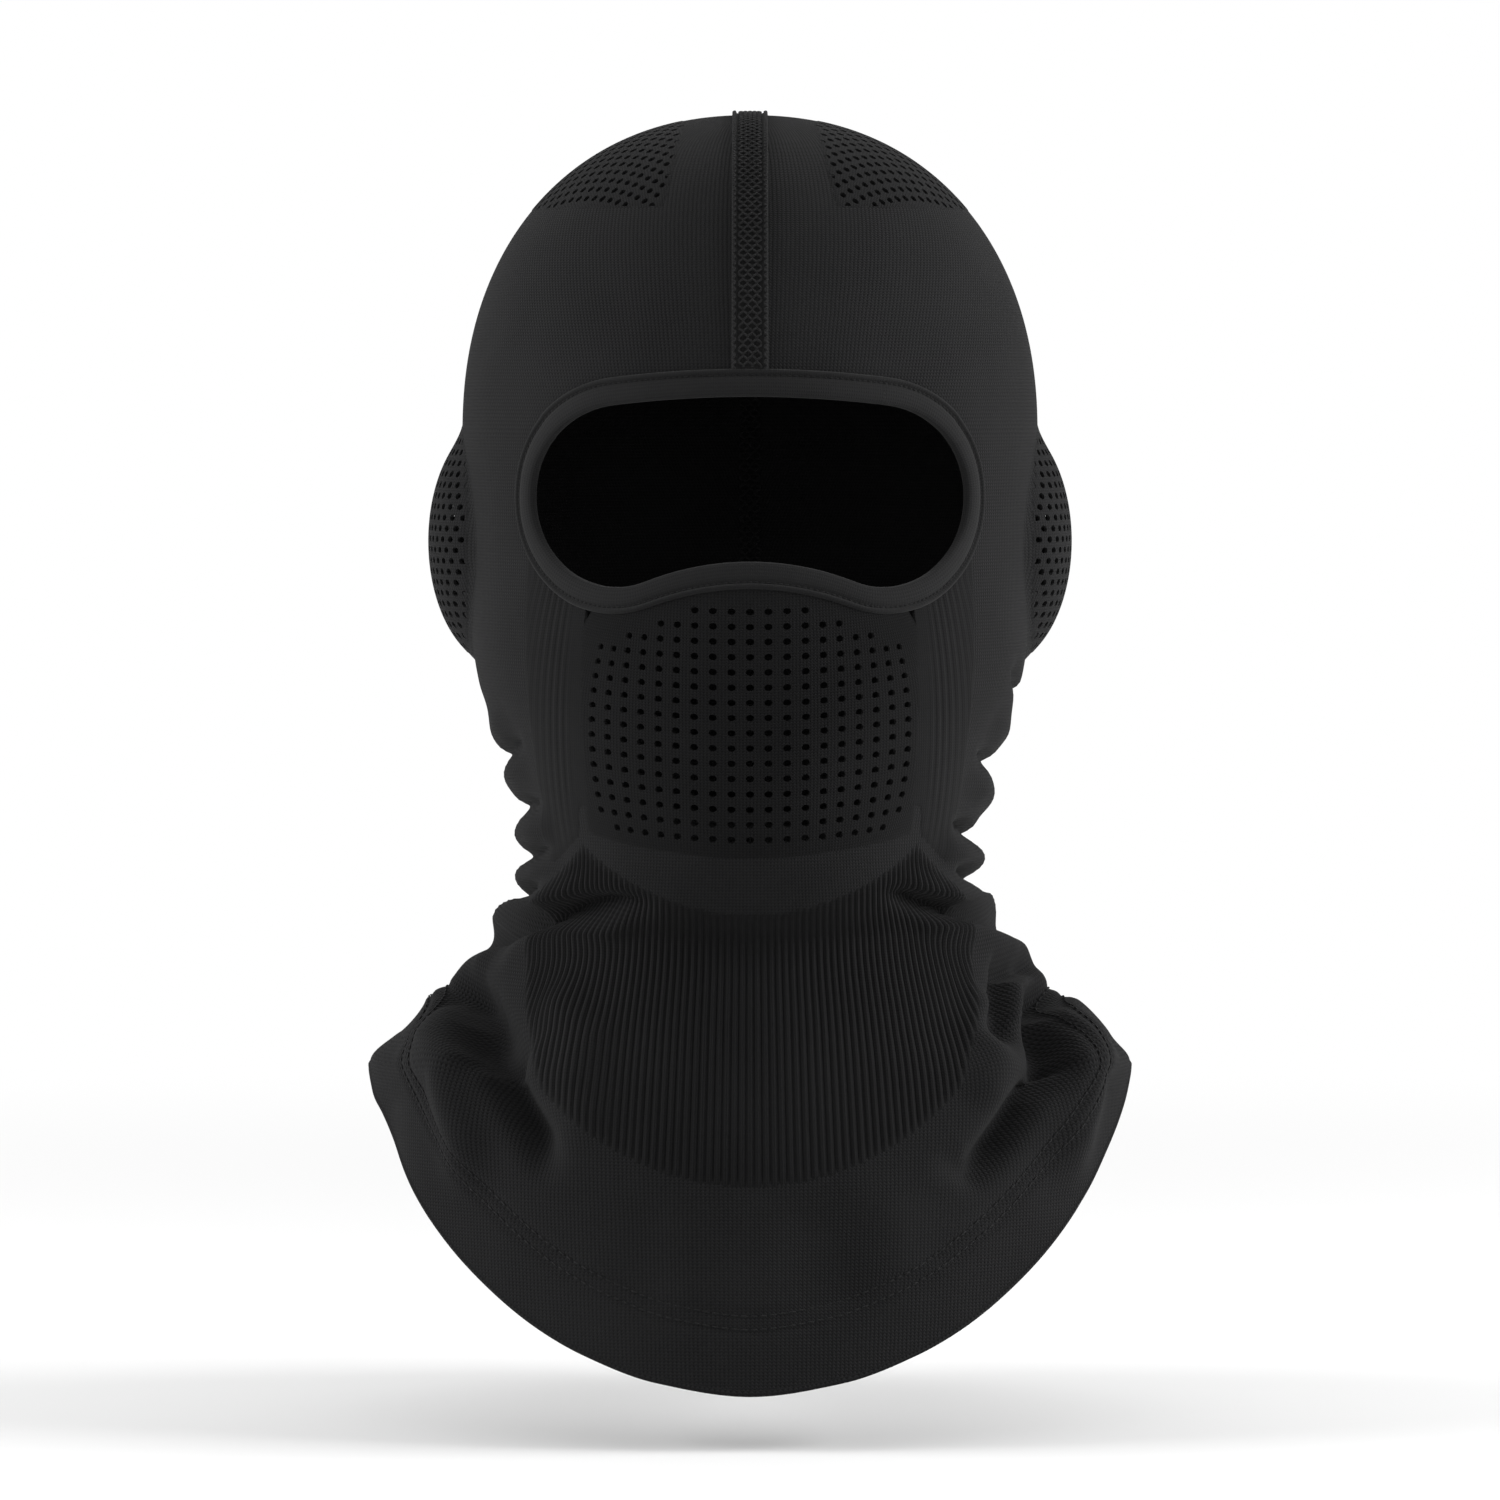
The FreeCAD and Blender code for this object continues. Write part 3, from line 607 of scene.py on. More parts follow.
def grid_piece(name, wanted, closed_round):
    """A piece made of the wanted faces of the big grid, and the crown's tip where it has one."""
    wide = COLUMNS + 1
    rows, columns = np.nonzero(wanted)
    corner = rows * wide + columns
    uv_faces = np.stack([corner, corner + wide, corner + wide + 1, corner + 1], -1)
    used, faces = np.unique(uv_faces, return_inverse=True)
    faces = faces.reshape(uv_faces.shape)
    if closed_round:
        same = np.where(used % wide == COLUMNS, used - COLUMNS, used)
        used, back = np.unique(same, return_inverse=True)
        faces = back[faces]
    turn, way = grid_turns.ravel()[used], ways.ravel()[used]
    faces, uv_faces = [tuple(f) for f in faces.tolist()], [tuple(f) for f in uv_faces.tolist()]
    if rows.min() == 0:
        tip = len(used)
        turn, way = np.append(turn, 0.0), np.append(way, -CROWN_LENGTH)
        top = np.nonzero(used < wide)[0]
        faces += [(int(a), int(b), tip) for a, b in zip(top, top[1:])]
        uv_faces += [(int(used[a]), int(used[b]), int(used[b])) for a, b in zip(top, top[1:])]
    return sheet_piece(name, turn, way, 0.0, faces, grid_uv, PLAIN, [name], uv_faces)


for name, wanted in AREAS.items():
    grid_piece(name, wanted, name == "neck_skirt")

# %% [markdown]
# ## Eyelet panels
#
# The vents are knitted holes in even rows. A panel is drawn flat first, as cells, and
# Geometry Nodes open them: each marked cell is inset, its middle is deleted and a
# subdivision rounds what is left. The flat panel is then laid on the form point by
# point, so every hole keeps its roundness. A hole cut by a Boolean would be slower and
# leave long, thin faces.

# %% Geometry Nodes that open the cells
def new_tree(name, *inputs):
    """A Geometry Nodes tree with a geometry input, named inputs and a material."""
    tree = bpy.data.node_groups.new(name, "GeometryNodeTree")
    tree.interface.new_socket("Geometry", in_out="INPUT", socket_type="NodeSocketGeometry")
    for label, kind in inputs:
        tree.interface.new_socket(label, in_out="INPUT", socket_type=f"NodeSocket{kind}")
    tree.interface.new_socket("Material", in_out="INPUT", socket_type="NodeSocketMaterial")
    tree.interface.new_socket("Geometry", in_out="OUTPUT", socket_type="NodeSocketGeometry")
    source, sink = tree.nodes.new("NodeGroupInput"), tree.nodes.new("NodeGroupOutput")
    return tree, source, sink


def finish_tree(tree, source, sink, geometry):
    """End a tree with Realize Instances and Set Material."""
    real = tree.nodes.new("GeometryNodeRealizeInstances")
    paint = tree.nodes.new("GeometryNodeSetMaterial")
    tree.links.new(geometry, real.inputs[0])
    tree.links.new(real.outputs[0], paint.inputs["Geometry"])
    tree.links.new(source.outputs["Material"], paint.inputs["Material"])
    tree.links.new(paint.outputs[0], sink.inputs[0])
    return tree


def eyelet_tree():
    """A tree that opens a rounded hole in each marked cell."""
    tree, source, sink = new_tree("open_eyelets", ("Hole share", "Float"), ("Rounding", "Int"))
    marked = tree.nodes.new("GeometryNodeInputNamedAttribute")
    marked.data_type = "BOOLEAN"
    marked.inputs["Name"].default_value = "eyelet"
    inset = tree.nodes.new("GeometryNodeExtrudeMesh")
    inset.mode = "FACES"
    inset.inputs["Individual"].default_value = True
    inset.inputs["Offset Scale"].default_value = 0.0
    shrink = tree.nodes.new("GeometryNodeScaleElements")
    open_up = tree.nodes.new("GeometryNodeDeleteGeometry")
    open_up.domain = "FACE"
    smooth = tree.nodes.new("GeometryNodeSubdivisionSurface")
    tree.links.new(source.outputs["Geometry"], inset.inputs["Mesh"])
    tree.links.new(marked.outputs["Attribute"], inset.inputs["Selection"])
    tree.links.new(inset.outputs["Mesh"], shrink.inputs["Geometry"])
    tree.links.new(inset.outputs["Top"], shrink.inputs["Selection"])
    tree.links.new(source.outputs["Hole share"], shrink.inputs["Scale"])
    tree.links.new(shrink.outputs["Geometry"], open_up.inputs["Geometry"])
    tree.links.new(inset.outputs["Top"], open_up.inputs["Selection"])
    tree.links.new(open_up.outputs["Geometry"], smooth.inputs["Mesh"])
    tree.links.new(source.outputs["Rounding"], smooth.inputs["Level"])
    return finish_tree(tree, source, sink, smooth.outputs["Mesh"])


def run_tree(tree, mesh, material, **settings):
    """Run a tree on a mesh and give back the plain mesh that it makes."""
    holder = bpy.data.objects.new("workpiece", mesh)
    bpy.context.scene.collection.objects.link(holder)
    modifier = holder.modifiers.new("nodes", "NODES")
    modifier.node_group = tree
    values = {label.replace("_", " "): value for label, value in settings.items()}
    values["Material"] = material
    for socket in tree.interface.items_tree:
        if socket.in_out == "INPUT" and socket.name in values:
            modifier[socket.identifier] = values[socket.name]
    evaluated = holder.evaluated_get(bpy.context.evaluated_depsgraph_get())
    made = bpy.data.meshes.new_from_object(evaluated)
    bpy.data.objects.remove(holder)
    return made


EYELETS = eyelet_tree()


# %% Cut a flat panel of cells
def flat_panel(cells, share, rounding, material):
    """Points and faces of a flat panel; cells are lists of corners with a mark for a hole."""
    corners, index, faces = [], {}, []
    for outline, _ in cells:
        face = []
        for corner in outline:
            key = (round(corner[0], 4), round(corner[1], 4))
            if key not in index:
                index[key] = len(corners)
                corners.append((*key, 0.0))
            face.append(index[key])
        faces.append(face)
    mesh = bpy.data.meshes.new("flat_panel")
    mesh.from_pydata(corners, [], faces)
    mark = mesh.attributes.new("eyelet", "BOOLEAN", "FACE")
    mark.data.foreach_set("value", np.array([hole for _, hole in cells], bool))
    made = run_tree(EYELETS, mesh, material, Hole_share=share, Rounding=rounding)
    points = np.empty(len(made.vertices) * 3, np.float32)
    made.vertices.foreach_get("co", points)
    return points.reshape(-1, 3)[:, :2].astype(float), [tuple(p.vertices) for p in made.polygons]


def upright(points, faces, out):
    """The faces, with those that look inwards turned round."""
    first, second, third = (points[[face[k] for face in faces]] for k in (0, 1, 2))
    normal = np.cross(second - first, third - first)
    right = np.einsum("ij,ij->i", normal, out[[face[0] for face in faces]]) > 0
    return [face if keep else tuple(reversed(face)) for face, keep in zip(faces, right)]


PANEL_CLOTH = 0.9
DIP, DIP_RISE, DIP_WIDTH = -0.55, 0.70, 1.6


def lay_panel(name, flat, faces, place, depth_name, uv, material, relief=0.0):
    """Lay a flat panel on the form and let its border dip under the plain knit."""
    turn, way = place(flat)
    depth = zone_depths(turn, way)[depth_name]
    blend = np.clip(depth / DIP_WIDTH, 0, 1)
    lift = DIP + DIP_RISE * blend * blend * (3 - 2 * blend) + relief
    outside, out = cloth_point(turn, way, lift)
    faces = upright(outside, faces, out)
    return sheet_piece(
        name, turn, way, lift, faces, uv, material, [name], thickness=PANEL_CLOTH)


# %% [markdown]
# ## The mouth vent
#
# Nineteen columns and sixteen rows of small round holes. The rows sag a little like a
# smile because the cloth is pulled over the chin, and the outer columns bow. The
# corners are left plain, and the binding cuts off the top.

# %% Mouth vent
MOUTH_STEP, MOUTH_ROW = 4.75, 4.14
TOP_ROW_DROP = 134.6
LAST_ROW, LAST_COLUMN = 15, 9
CELL_REACH = 3.0
BINDING_REACH = 9.3


def mouth_place(flat):
    """Turn and way of a flat point, counted in columns and rows from the middle of the top row."""
    column, row = flat[:, 0] / MOUTH_STEP, flat[:, 1] / MOUTH_ROW
    reach = np.clip(np.abs(column) / LAST_COLUMN, 0, 1.25)
    drop = TOP_ROW_DROP + MOUTH_ROW * row - (2.0 + 1.4 * np.clip(row / 8, 0, 1)) * reach ** 1.7
    bow = 1 - 0.062 * reach ** 2 * np.clip(np.abs(167 - drop) / 23, 0, 1.6) ** 2
    across = 42.8 * np.sin(0.0667 * column) / math.sin(0.6) * bow
    way = way_at(drop)
    return np.arcsin(np.clip(across / ellipse_at(way)[0], -0.99, 0.99)), way


def mouth_cells():
    """Square cells; a hole sits in each cell that is clear of the binding and the round corners."""
    places = [(column, row) for row in range(-5, 19) for column in range(-11, 12)]
    centres = np.array(places) * (MOUTH_STEP, MOUTH_ROW)
    depth = zone_depths(*mouth_place(centres))
    a, b = MOUTH_STEP / 2, MOUTH_ROW / 2
    cells = []
    for (column, row), (x, y), mouth, eye in zip(places, centres, depth["mouth"], depth["eye"]):
        if mouth < -CELL_REACH or eye > -1.5:
            continue
        widest = min(LAST_COLUMN - (row == LAST_ROW), 3 + 2 * row)
        hole = 0 <= row <= LAST_ROW and abs(column) <= widest and eye < -BINDING_REACH
        cells.append((((x - a, y - b), (x - a, y + b), (x + a, y + b), (x + a, y - b)), hole))
    return cells


mouth_flat, mouth_faces = flat_panel(mouth_cells(), 0.49, 2, VENT)
lay_panel("mouth_vent", mouth_flat, mouth_faces, mouth_place, "mouth",
          mouth_flat * MM * np.array((1, -1)), VENT)


# %% [markdown]
# ## Crown and ear vents
#
# Here the rows are staggered, so each cell is a hexagon and shares all its corners. On
# the crown the flat panel is wrapped from the top outwards, keeping distances from the
# top true, as a map of the pole does. On an ear it is laid on from the side.

# %% Crown vents
def hexagons(columns, rows, step, row_step, place, zone, margin):
    """Staggered six-cornered cells over a zone, opened where they are a margin inside it."""
    centres = np.array([
        ((column + 0.5 * (row % 2)) * step, row * row_step) for row in rows for column in columns])
    a, b, tilt = step / 2, row_step / 2, row_step / 6
    cells = []
    for (x, y), depth in zip(centres, zone_depths(*place(centres))[zone]):
        if depth > -CELL_REACH:
            outline = ((x - a, y - b + tilt), (x - a, y + b - tilt), (x, y + b + tilt),
                       (x + a, y + b - tilt), (x + a, y - b + tilt), (x, y - b - tilt))
            cells.append((outline, depth > margin))
    return cells


POLE_STEPS = 180
POLE_TURNS = np.linspace(-math.pi, math.pi, POLE_STEPS + 1)
POLE_WAYS = np.linspace(-CROWN_LENGTH, 20, 171)
pole_grid = form(POLE_TURNS[:, None], POLE_WAYS[None, :])
POLE_ARC = np.concatenate([np.zeros((POLE_STEPS + 1, 1)), np.cumsum(
    np.linalg.norm(np.diff(pole_grid, axis=1), axis=2), axis=1)], axis=1)


def crown_place(flat):
    """Turn and way of a flat point measured from the crown's top; y runs to the back."""
    turn = np.arctan2(flat[:, 0], -flat[:, 1])
    far = np.hypot(flat[:, 0], flat[:, 1])
    rows = np.rint((turn + math.pi) / (2 * math.pi) * POLE_STEPS).astype(int)
    return turn, np.array([np.interp(f, POLE_ARC[r], POLE_WAYS) for f, r in zip(far, rows)])


CROWN_STEP, CROWN_ROW = 4.3, 3.5
for side, sign in (("left", 1), ("right", -1)):
    cells = hexagons(
        range(2, 19) if sign > 0 else range(-19, -1), range(-28, 19), CROWN_STEP, CROWN_ROW,
        crown_place, "crown", 1.9)
    flat, faces = flat_panel(cells, 0.56, 1, OPEN_KNIT)
    lay_panel(f"crown_vent_{side}", flat, faces, crown_place, "crown", flat * MM, OPEN_KNIT)


# %% Ear vents
def ear_place(sign):
    """Turn and way of a point seen from the side: x runs to the back and y is the drop."""
    def place(flat):
        way = way_at(flat[:, 1])
        _, middle, depth = ellipse_at(way)
        return sign * np.arccos(np.clip((middle - flat[:, 0]) / depth, -1, 1)), way
    return place


EAR_STEP, EAR_ROW = 4.0, 3.0
for side, sign in (("left", 1), ("right", -1)):
    place = ear_place(sign)
    cells = hexagons(range(-10, 12), range(25, 54), EAR_STEP, EAR_ROW, place, "ear", 1.6)
    flat, faces = flat_panel(cells, 0.55, 1, OPEN_KNIT)
    lay_panel(f"ear_vent_{side}", flat, faces, place, "ear", flat * MM, OPEN_KNIT)

# %% [markdown]
# ## Ribs
#
# Ribs are raised columns of knit. Ribs this coarse throw real shadows, so they are real
# ridges and not a bump. Geometry Nodes make a flat, finely ribbed grid, and its ridge
# heights become lift when it is laid on the form.

# %% Geometry Nodes that rib a grid
def rib_tree():
    """A tree that makes a flat grid with ridges across it."""
    tree, source, sink = new_tree(
        "rib_grid", ("Width", "Float"), ("Length", "Float"), ("Columns", "Int"), ("Rows", "Int"),
        ("Rib pitch", "Float"), ("Rib height", "Float"))
    grid = tree.nodes.new("GeometryNodeMeshGrid")
    for label, socket in (
            ("Width", "Size X"), ("Length", "Size Y"), ("Columns", "Vertices X"), ("Rows", "Vertices Y")):
        tree.links.new(source.outputs[label], grid.inputs[socket])
    split = tree.nodes.new("ShaderNodeSeparateXYZ")
    join = tree.nodes.new("ShaderNodeCombineXYZ")
    move = tree.nodes.new("GeometryNodeSetPosition")
    tree.links.new(tree.nodes.new("GeometryNodeInputPosition").outputs[0], split.inputs[0])
    phase = link_math(tree, "MULTIPLY", link_math(
        tree, "DIVIDE", split.outputs[0], source.outputs["Rib pitch"]), 2 * math.pi)
    wave = link_math(tree, "MULTIPLY_ADD", link_math(tree, "COSINE", phase), 0.5, 0.5)
    ridge = link_math(tree, "POWER", wave, 0.7)
    tree.links.new(link_math(tree, "MULTIPLY", ridge, source.outputs["Rib height"]), join.inputs[2])
    tree.links.new(grid.outputs["Mesh"], move.inputs["Geometry"])
    tree.links.new(join.outputs[0], move.inputs["Offset"])
    return finish_tree(tree, source, sink, move.outputs[0])


RIBS = rib_tree()


def ribbed_panel(width, length, columns, rows, pitch, height):
    """Flat points of a ribbed grid and its faces; the third coordinate is the ridge."""
    made = run_tree(RIBS, bpy.data.meshes.new("empty"), RIB, Width=width, Length=length, Columns=columns,
                    Rows=rows, Rib_pitch=pitch, Rib_height=height)
    points = np.empty(len(made.vertices) * 3, np.float32)
    made.vertices.foreach_get("co", points)
    return points.reshape(-1, 3).astype(float), [tuple(p.vertices) for p in made.polygons]


def keep_faces(faces, wanted):
    """Only the faces whose corners are all wanted, with the spare points dropped."""
    faces = [face for face in faces if all(wanted[v] for v in face)]
    used = sorted({v for face in faces for v in face})
    place = {v: k for k, v in enumerate(used)}
    return used, [tuple(place[v] for v in face) for face in faces]


# %% Throat ribs
RIB_TOP, RIB_BASE = 188.0, 297.0
RIB_COUNT = 84
RIB_HEIGHT = 0.62
GRIDS_PER_RIB = 6
RIB_PITCHES = easy_curve((188, 205, 226, 250, 297), (1.98, 1.95, 1.92, 2.05, 2.26))
ARC_COUNT = 160
ARC_TURNS = np.linspace(0, 1.5, ARC_COUNT)


def throat_place(flat):
    """Turn and way of a point counted in ribs from the middle and in drop."""
    drop = flat[:, 1]
    turn = np.empty(len(flat))
    for level in np.unique(drop):
        here = drop == level
        line = form(ARC_TURNS, np.full(ARC_COUNT, level - BROW_DROP))[:, :2]
        arc_length = np.concatenate([[0], np.cumsum(np.linalg.norm(np.diff(line, axis=0), axis=1))])
        ribs = flat[here, 0]
        turn[here] = np.copysign(np.interp(np.abs(ribs) * RIB_PITCHES(level), arc_length, ARC_TURNS), ribs)
    return turn, way_at(drop)


ridged, rib_faces = ribbed_panel(
    float(RIB_COUNT), RIB_BASE - RIB_TOP, RIB_COUNT * GRIDS_PER_RIB + 1, 70, 1.0, RIB_HEIGHT)
rib_flat = np.stack([ridged[:, 0], np.round(ridged[:, 1], 3) + (RIB_TOP + RIB_BASE) / 2], -1)
rib_turn, rib_way = throat_place(rib_flat)
rib_depth = zone_depths(rib_turn, rib_way)["ribs"]
used, rib_faces = keep_faces(rib_faces, rib_depth > -2.5)
rib_uv = rib_flat[used] * np.array((2.0, -1.0)) * MM
rib_fade = np.clip(rib_depth[used] / 2.5, 0, 1)
lay_panel("throat_rib_panel", rib_flat[used], rib_faces,
          lambda flat: (rib_turn[used], rib_way[used]), "ribs", rib_uv, RIB,
          relief=(ridged[used, 2] - 0.24) * rib_fade)


# %% Cheek ribs
CHEEK_PITCH, CHEEK_MIDDLE = 1.85, 53
CHEEK_RIBS, CHEEK_LENGTH, CHEEK_RELIEF = 20, 96.0, 0.30


def cheek_place(sign):
    """Cheek ribs stand upright beside the mouth and bow with its edge."""
    def place(flat):
        drop = flat[:, 1]
        bow = 1 - 0.05 * np.clip(np.abs(168 - drop) / 32, 0, 1.3) ** 2
        way = way_at(drop)
        across = (CHEEK_MIDDLE + flat[:, 0] * CHEEK_PITCH) * bow
        return sign * np.arcsin(np.clip(across / ellipse_at(way)[0], -0.995, 0.995)), way
    return place


for side, sign in (("left", 1), ("right", -1)):
    ridged, faces = ribbed_panel(
        float(CHEEK_RIBS), CHEEK_LENGTH, CHEEK_RIBS * GRIDS_PER_RIB + 1, 64, 1.0, CHEEK_RELIEF)
    flat = np.stack([ridged[:, 0], ridged[:, 1] + 160], -1)
    turn, way = cheek_place(sign)(flat)
    depth = zone_depths(turn, way)
    wanted = (depth["cheek"] > -2.5) & (depth["mouth"] < TUCK) & (depth["eye"] < -3.0)
    used, faces = keep_faces(faces, wanted)
    fade = np.clip(depth["cheek"][used] / 9, 0, 1) * np.clip((-depth["mouth"][used] - 0.3) / 3, 0, 1)
    lay_panel(f"cheek_rib_{side}", flat[used], faces, cheek_place(sign), "cheek",
              flat[used] * np.array((CHEEK_PITCH, -1)) * MM, RIB,
              relief=(ridged[used, 2] - 0.15) * fade)

# %% [markdown]
# ## The binding round the eye opening
#
# A strip of jersey is folded over the cut edge and sewn down from the front. Its fold
# is soft and round, the stitches pull a groove into it, and its raw edge stands up in a
# thin lip. One cross-section carries all of that, and it is swept round the opening,
# with each point of the section brought back onto the curved face.

# %% Sweep a section round the eye
EYE_COUNT = 420


def even_loop(outline, count, softness):
    """Evenly spaced points on a closed outline, with its corners eased."""
    closed = np.vstack([outline, outline[:1]])
    gone = np.concatenate([[0], np.cumsum(np.linalg.norm(np.diff(closed, axis=0), axis=1))])
    at = np.linspace(0, gone[-1], count, endpoint=False)
    points = np.stack([np.interp(at, gone, closed[:, k]) for k in (0, 1)], -1)
    for _ in range(softness):
        points = (np.roll(points, 1, 0) + 2 * points + np.roll(points, -1, 0)) / 4
    return points


eye_loop = even_loop(EYE_EDGE, EYE_COUNT, 24)


def front_place(points):
    """Turn and way of points seen from the front, given as distance to the side and drop."""
    way = way_at(points[..., 1])
    return np.arcsin(np.clip(points[..., 0] / ellipse_at(way)[0], -0.999, 0.999)), way


def beside_eye(distance):
    """The loop that runs round the eye opening at a distance over the cloth."""
    edge, out = cloth_point(*front_place(eye_loop))
    along = np.roll(edge, -1, 0) - np.roll(edge, 1, 0)
    away = np.cross(along, out)
    away /= np.linalg.norm(away, axis=1, keepdims=True)
    middle = edge.mean(0)
    away *= np.sign(np.einsum("ij,ij->i", away, edge - middle).sum())
    moved = edge + away * distance
    return front_place(np.stack([moved[:, 0], -moved[:, 2]], -1))


def swept(rings, closed_along=True):
    """Faces of a tube through rings of points: rings[k] is the whole path at section point k."""
    count, length = len(rings), len(rings[0])
    points = np.concatenate(rings)
    runs = length if closed_along else length - 1
    faces = []
    for k in range(count):
        a, b = k * length, (k + 1) % count * length
        faces += [(a + i, a + (i + 1) % length, b + (i + 1) % length, b + i) for i in range(runs)]
    if not closed_along:
        faces.append(tuple(k * length for k in range(count)))
        faces.append(tuple(k * length + length - 1 for k in reversed(range(count))))
    return points, faces


def outward(points, faces):
    """The faces, all turned round if the closed shape they make is inside out."""
    triangles = np.array([(f[0], f[k], f[k + 1]) for f in faces for k in range(1, len(f) - 1)])
    a, b, c = (points[triangles[:, k]] for k in range(3))
    volume = np.einsum("ij,ij->i", a, np.cross(b, c)).sum()
    return faces if volume > 0 else [tuple(reversed(face)) for face in faces]


# %% Eye binding
BINDING_SECTION = (
    (7.55, -0.9), (7.55, 0.15), (7.3, 0.85), (6.9, 1.2), (6.5, 1.15), (6.2, 0.75), (5.95, 0.42), (5.6, 0.42),
    (5.2, 0.85), (4.6, 1.12), (3.6, 1.28), (2.4, 1.3), (1.3, 1.18), (0.5, 0.8), (0.08, 0.2), (0.0, -0.5),
    (0.15, -1.1), (0.6, -1.6), (1.3, -1.85), (3.4, -1.9), (5.6, -1.9), (7.0, -1.85), (7.4, -1.5),
)
eye_rings = [cloth_point(*beside_eye(distance), lift)[0] for distance, lift in BINDING_SECTION]
eye_points, eye_faces = swept(eye_rings)
eye_faces = outward(eye_points, eye_faces)
eye_length = np.linalg.norm(np.diff(eye_rings[0], axis=0), axis=1).sum()
run = np.arange(EYE_COUNT) / EYE_COUNT * eye_length
eye_uv = np.concatenate([
    np.stack([run, np.full(EYE_COUNT, k * 0.8)], -1) for k in range(len(BINDING_SECTION))]) * MM
make_piece("eye_binding", eye_points, eye_faces, eye_uv, BINDING, ["eye_binding"])

# %% [markdown]
# ## Stitches and looper threads
#
# A needle row is hundreds of equal short stitches along a line, and the looper thread
# wanders from side to side on the back. Both are made by Geometry Nodes: one tree sets
# a small stitch at even steps along a line, and the other gives a line a round section.

# %% Geometry Nodes for thread
def stitch_tree():
    """A tree that sets small stitches at even steps along a line."""
    tree, source, sink = new_tree(
        "stitch_row", ("Pitch", "Float"), ("Stitch length", "Float"), ("Thickness", "Float"))
    to_curve = tree.nodes.new("GeometryNodeMeshToCurve")
    steps = tree.nodes.new("GeometryNodeCurveToPoints")
    steps.mode = "LENGTH"
    align = tree.nodes.new("FunctionNodeAlignRotationToVector")
    align.axis = "Z"
    ball = tree.nodes.new("GeometryNodeMeshUVSphere")
    ball.inputs["Segments"].default_value = 6
    ball.inputs["Rings"].default_value = 5
    ball.inputs["Radius"].default_value = 0.5
    size = tree.nodes.new("ShaderNodeCombineXYZ")
    place = tree.nodes.new("GeometryNodeInstanceOnPoints")
    links = tree.links.new
    links(source.outputs["Geometry"], to_curve.inputs[0])
    links(to_curve.outputs[0], steps.inputs["Curve"])
    links(source.outputs["Pitch"], steps.inputs["Length"])
    links(steps.outputs["Tangent"], align.inputs["Vector"])
    links(source.outputs["Thickness"], size.inputs[0])
    links(source.outputs["Thickness"], size.inputs[1])
    links(source.outputs["Stitch length"], size.inputs[2])
    links(steps.outputs["Points"], place.inputs["Points"])
    links(ball.outputs["Mesh"], place.inputs["Instance"])
    links(align.outputs[0], place.inputs["Rotation"])
    links(size.outputs[0], place.inputs["Scale"])
    return finish_tree(tree, source, sink, place.outputs[0])


def thread_tree():
    """A tree that gives a line a round section."""
    tree, source, sink = new_tree("thread_run", ("Thickness", "Float"), ("Sides", "Int"))
    to_curve = tree.nodes.new("GeometryNodeMeshToCurve")
    circle = tree.nodes.new("GeometryNodeCurvePrimitiveCircle")
    tube = tree.nodes.new("GeometryNodeCurveToMesh")
    tube.inputs["Fill Caps"].default_value = True
    tree.links.new(source.outputs["Geometry"], to_curve.inputs[0])
    tree.links.new(source.outputs["Sides"], circle.inputs["Resolution"])
    tree.links.new(link_math(tree, "MULTIPLY", source.outputs["Thickness"], 0.5), circle.inputs["Radius"])
    tree.links.new(to_curve.outputs[0], tube.inputs["Curve"])
    tree.links.new(circle.outputs[0], tube.inputs["Profile Curve"])
    return finish_tree(tree, source, sink, tube.outputs[0])


STITCHES, THREADS = stitch_tree(), thread_tree()


def thread_piece(name, tree, lines, closed, **settings):
    """Run a thread tree along lines of points and name the plain mesh that it makes."""
    points, edges = [], []
    for line in lines:
        start, count = len(points), len(line)
        points += (np.asarray(line) * MM).tolist()
        runs = count if closed else count - 1
        edges += [(start + k, start + (k + 1) % count) for k in range(runs)]
    mesh = bpy.data.meshes.new(name)
    mesh.from_pydata(points, edges, [])
    made = run_tree(tree, mesh, THREAD, **settings)
    bpy.data.meshes.remove(mesh)
    made.name = name
    coords = np.empty(len(made.vertices) * 3, np.float32)
    made.vertices.foreach_get("co", coords)
    coords = coords.reshape(-1, 3)
    for layer in list(made.uv_layers):
        made.uv_layers.remove(layer)
    layer = made.uv_layers.new(name="cloth")
    corners = np.empty(len(made.loops), int)
    made.loops.foreach_get("vertex_index", corners)
    flat = coords[corners][:, (0, 2)] + coords[corners][:, (1, 0)]
    layer.data.foreach_set("uv", flat.astype(np.float32).ravel())
    made.polygons.foreach_set("use_smooth", np.ones(len(made.polygons), bool))
    piece = bpy.data.objects.new(name, made)
    bpy.context.scene.collection.objects.link(piece)
    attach(piece, "root")
    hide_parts(name)
    print(f"{name}: {len(lines)} lines, {len(made.polygons)} faces")
    return piece


# %% Threads of the binding
thread_piece(
    "eye_binding_stitch_row", STITCHES, [cloth_point(*beside_eye(5.78), 0.55)[0]], True,
    Pitch=0.00165, Stitch_length=0.00135, Thickness=0.00042)
near, far = (cloth_point(*beside_eye(d), -2.0)[0] for d in (4.2, 6.8))
share = 0.5 + 0.5 * np.sin(np.arange(EYE_COUNT) * math.pi / 3)[:, None]
thread_piece(
    "eye_binding_looper_thread", THREADS, [near * share + far * (1 - share)], True,
    Thickness=0.0004, Sides=5)

# %% [markdown]
# ## The crown seam
#
# A flat seam joins the halves of the hood: a raised band with a needle row along each
# edge and a cover thread that zigzags between them into a honeycomb. It starts at the
# binding, goes over the crown and runs down the back. The band and its threads follow
# the middle of the form, which a small function gives for a distance to the side.

# %% The seam's line
SEAM_START = 69.6
BROW_SIDE, BROW_FRONT, BROW_BACK = LEVELS[0, 1:]
CROWN_MIDDLE = (BROW_BACK - BROW_FRONT) / 2
CROWN_DEPTH = (BROW_BACK + BROW_FRONT) / 2


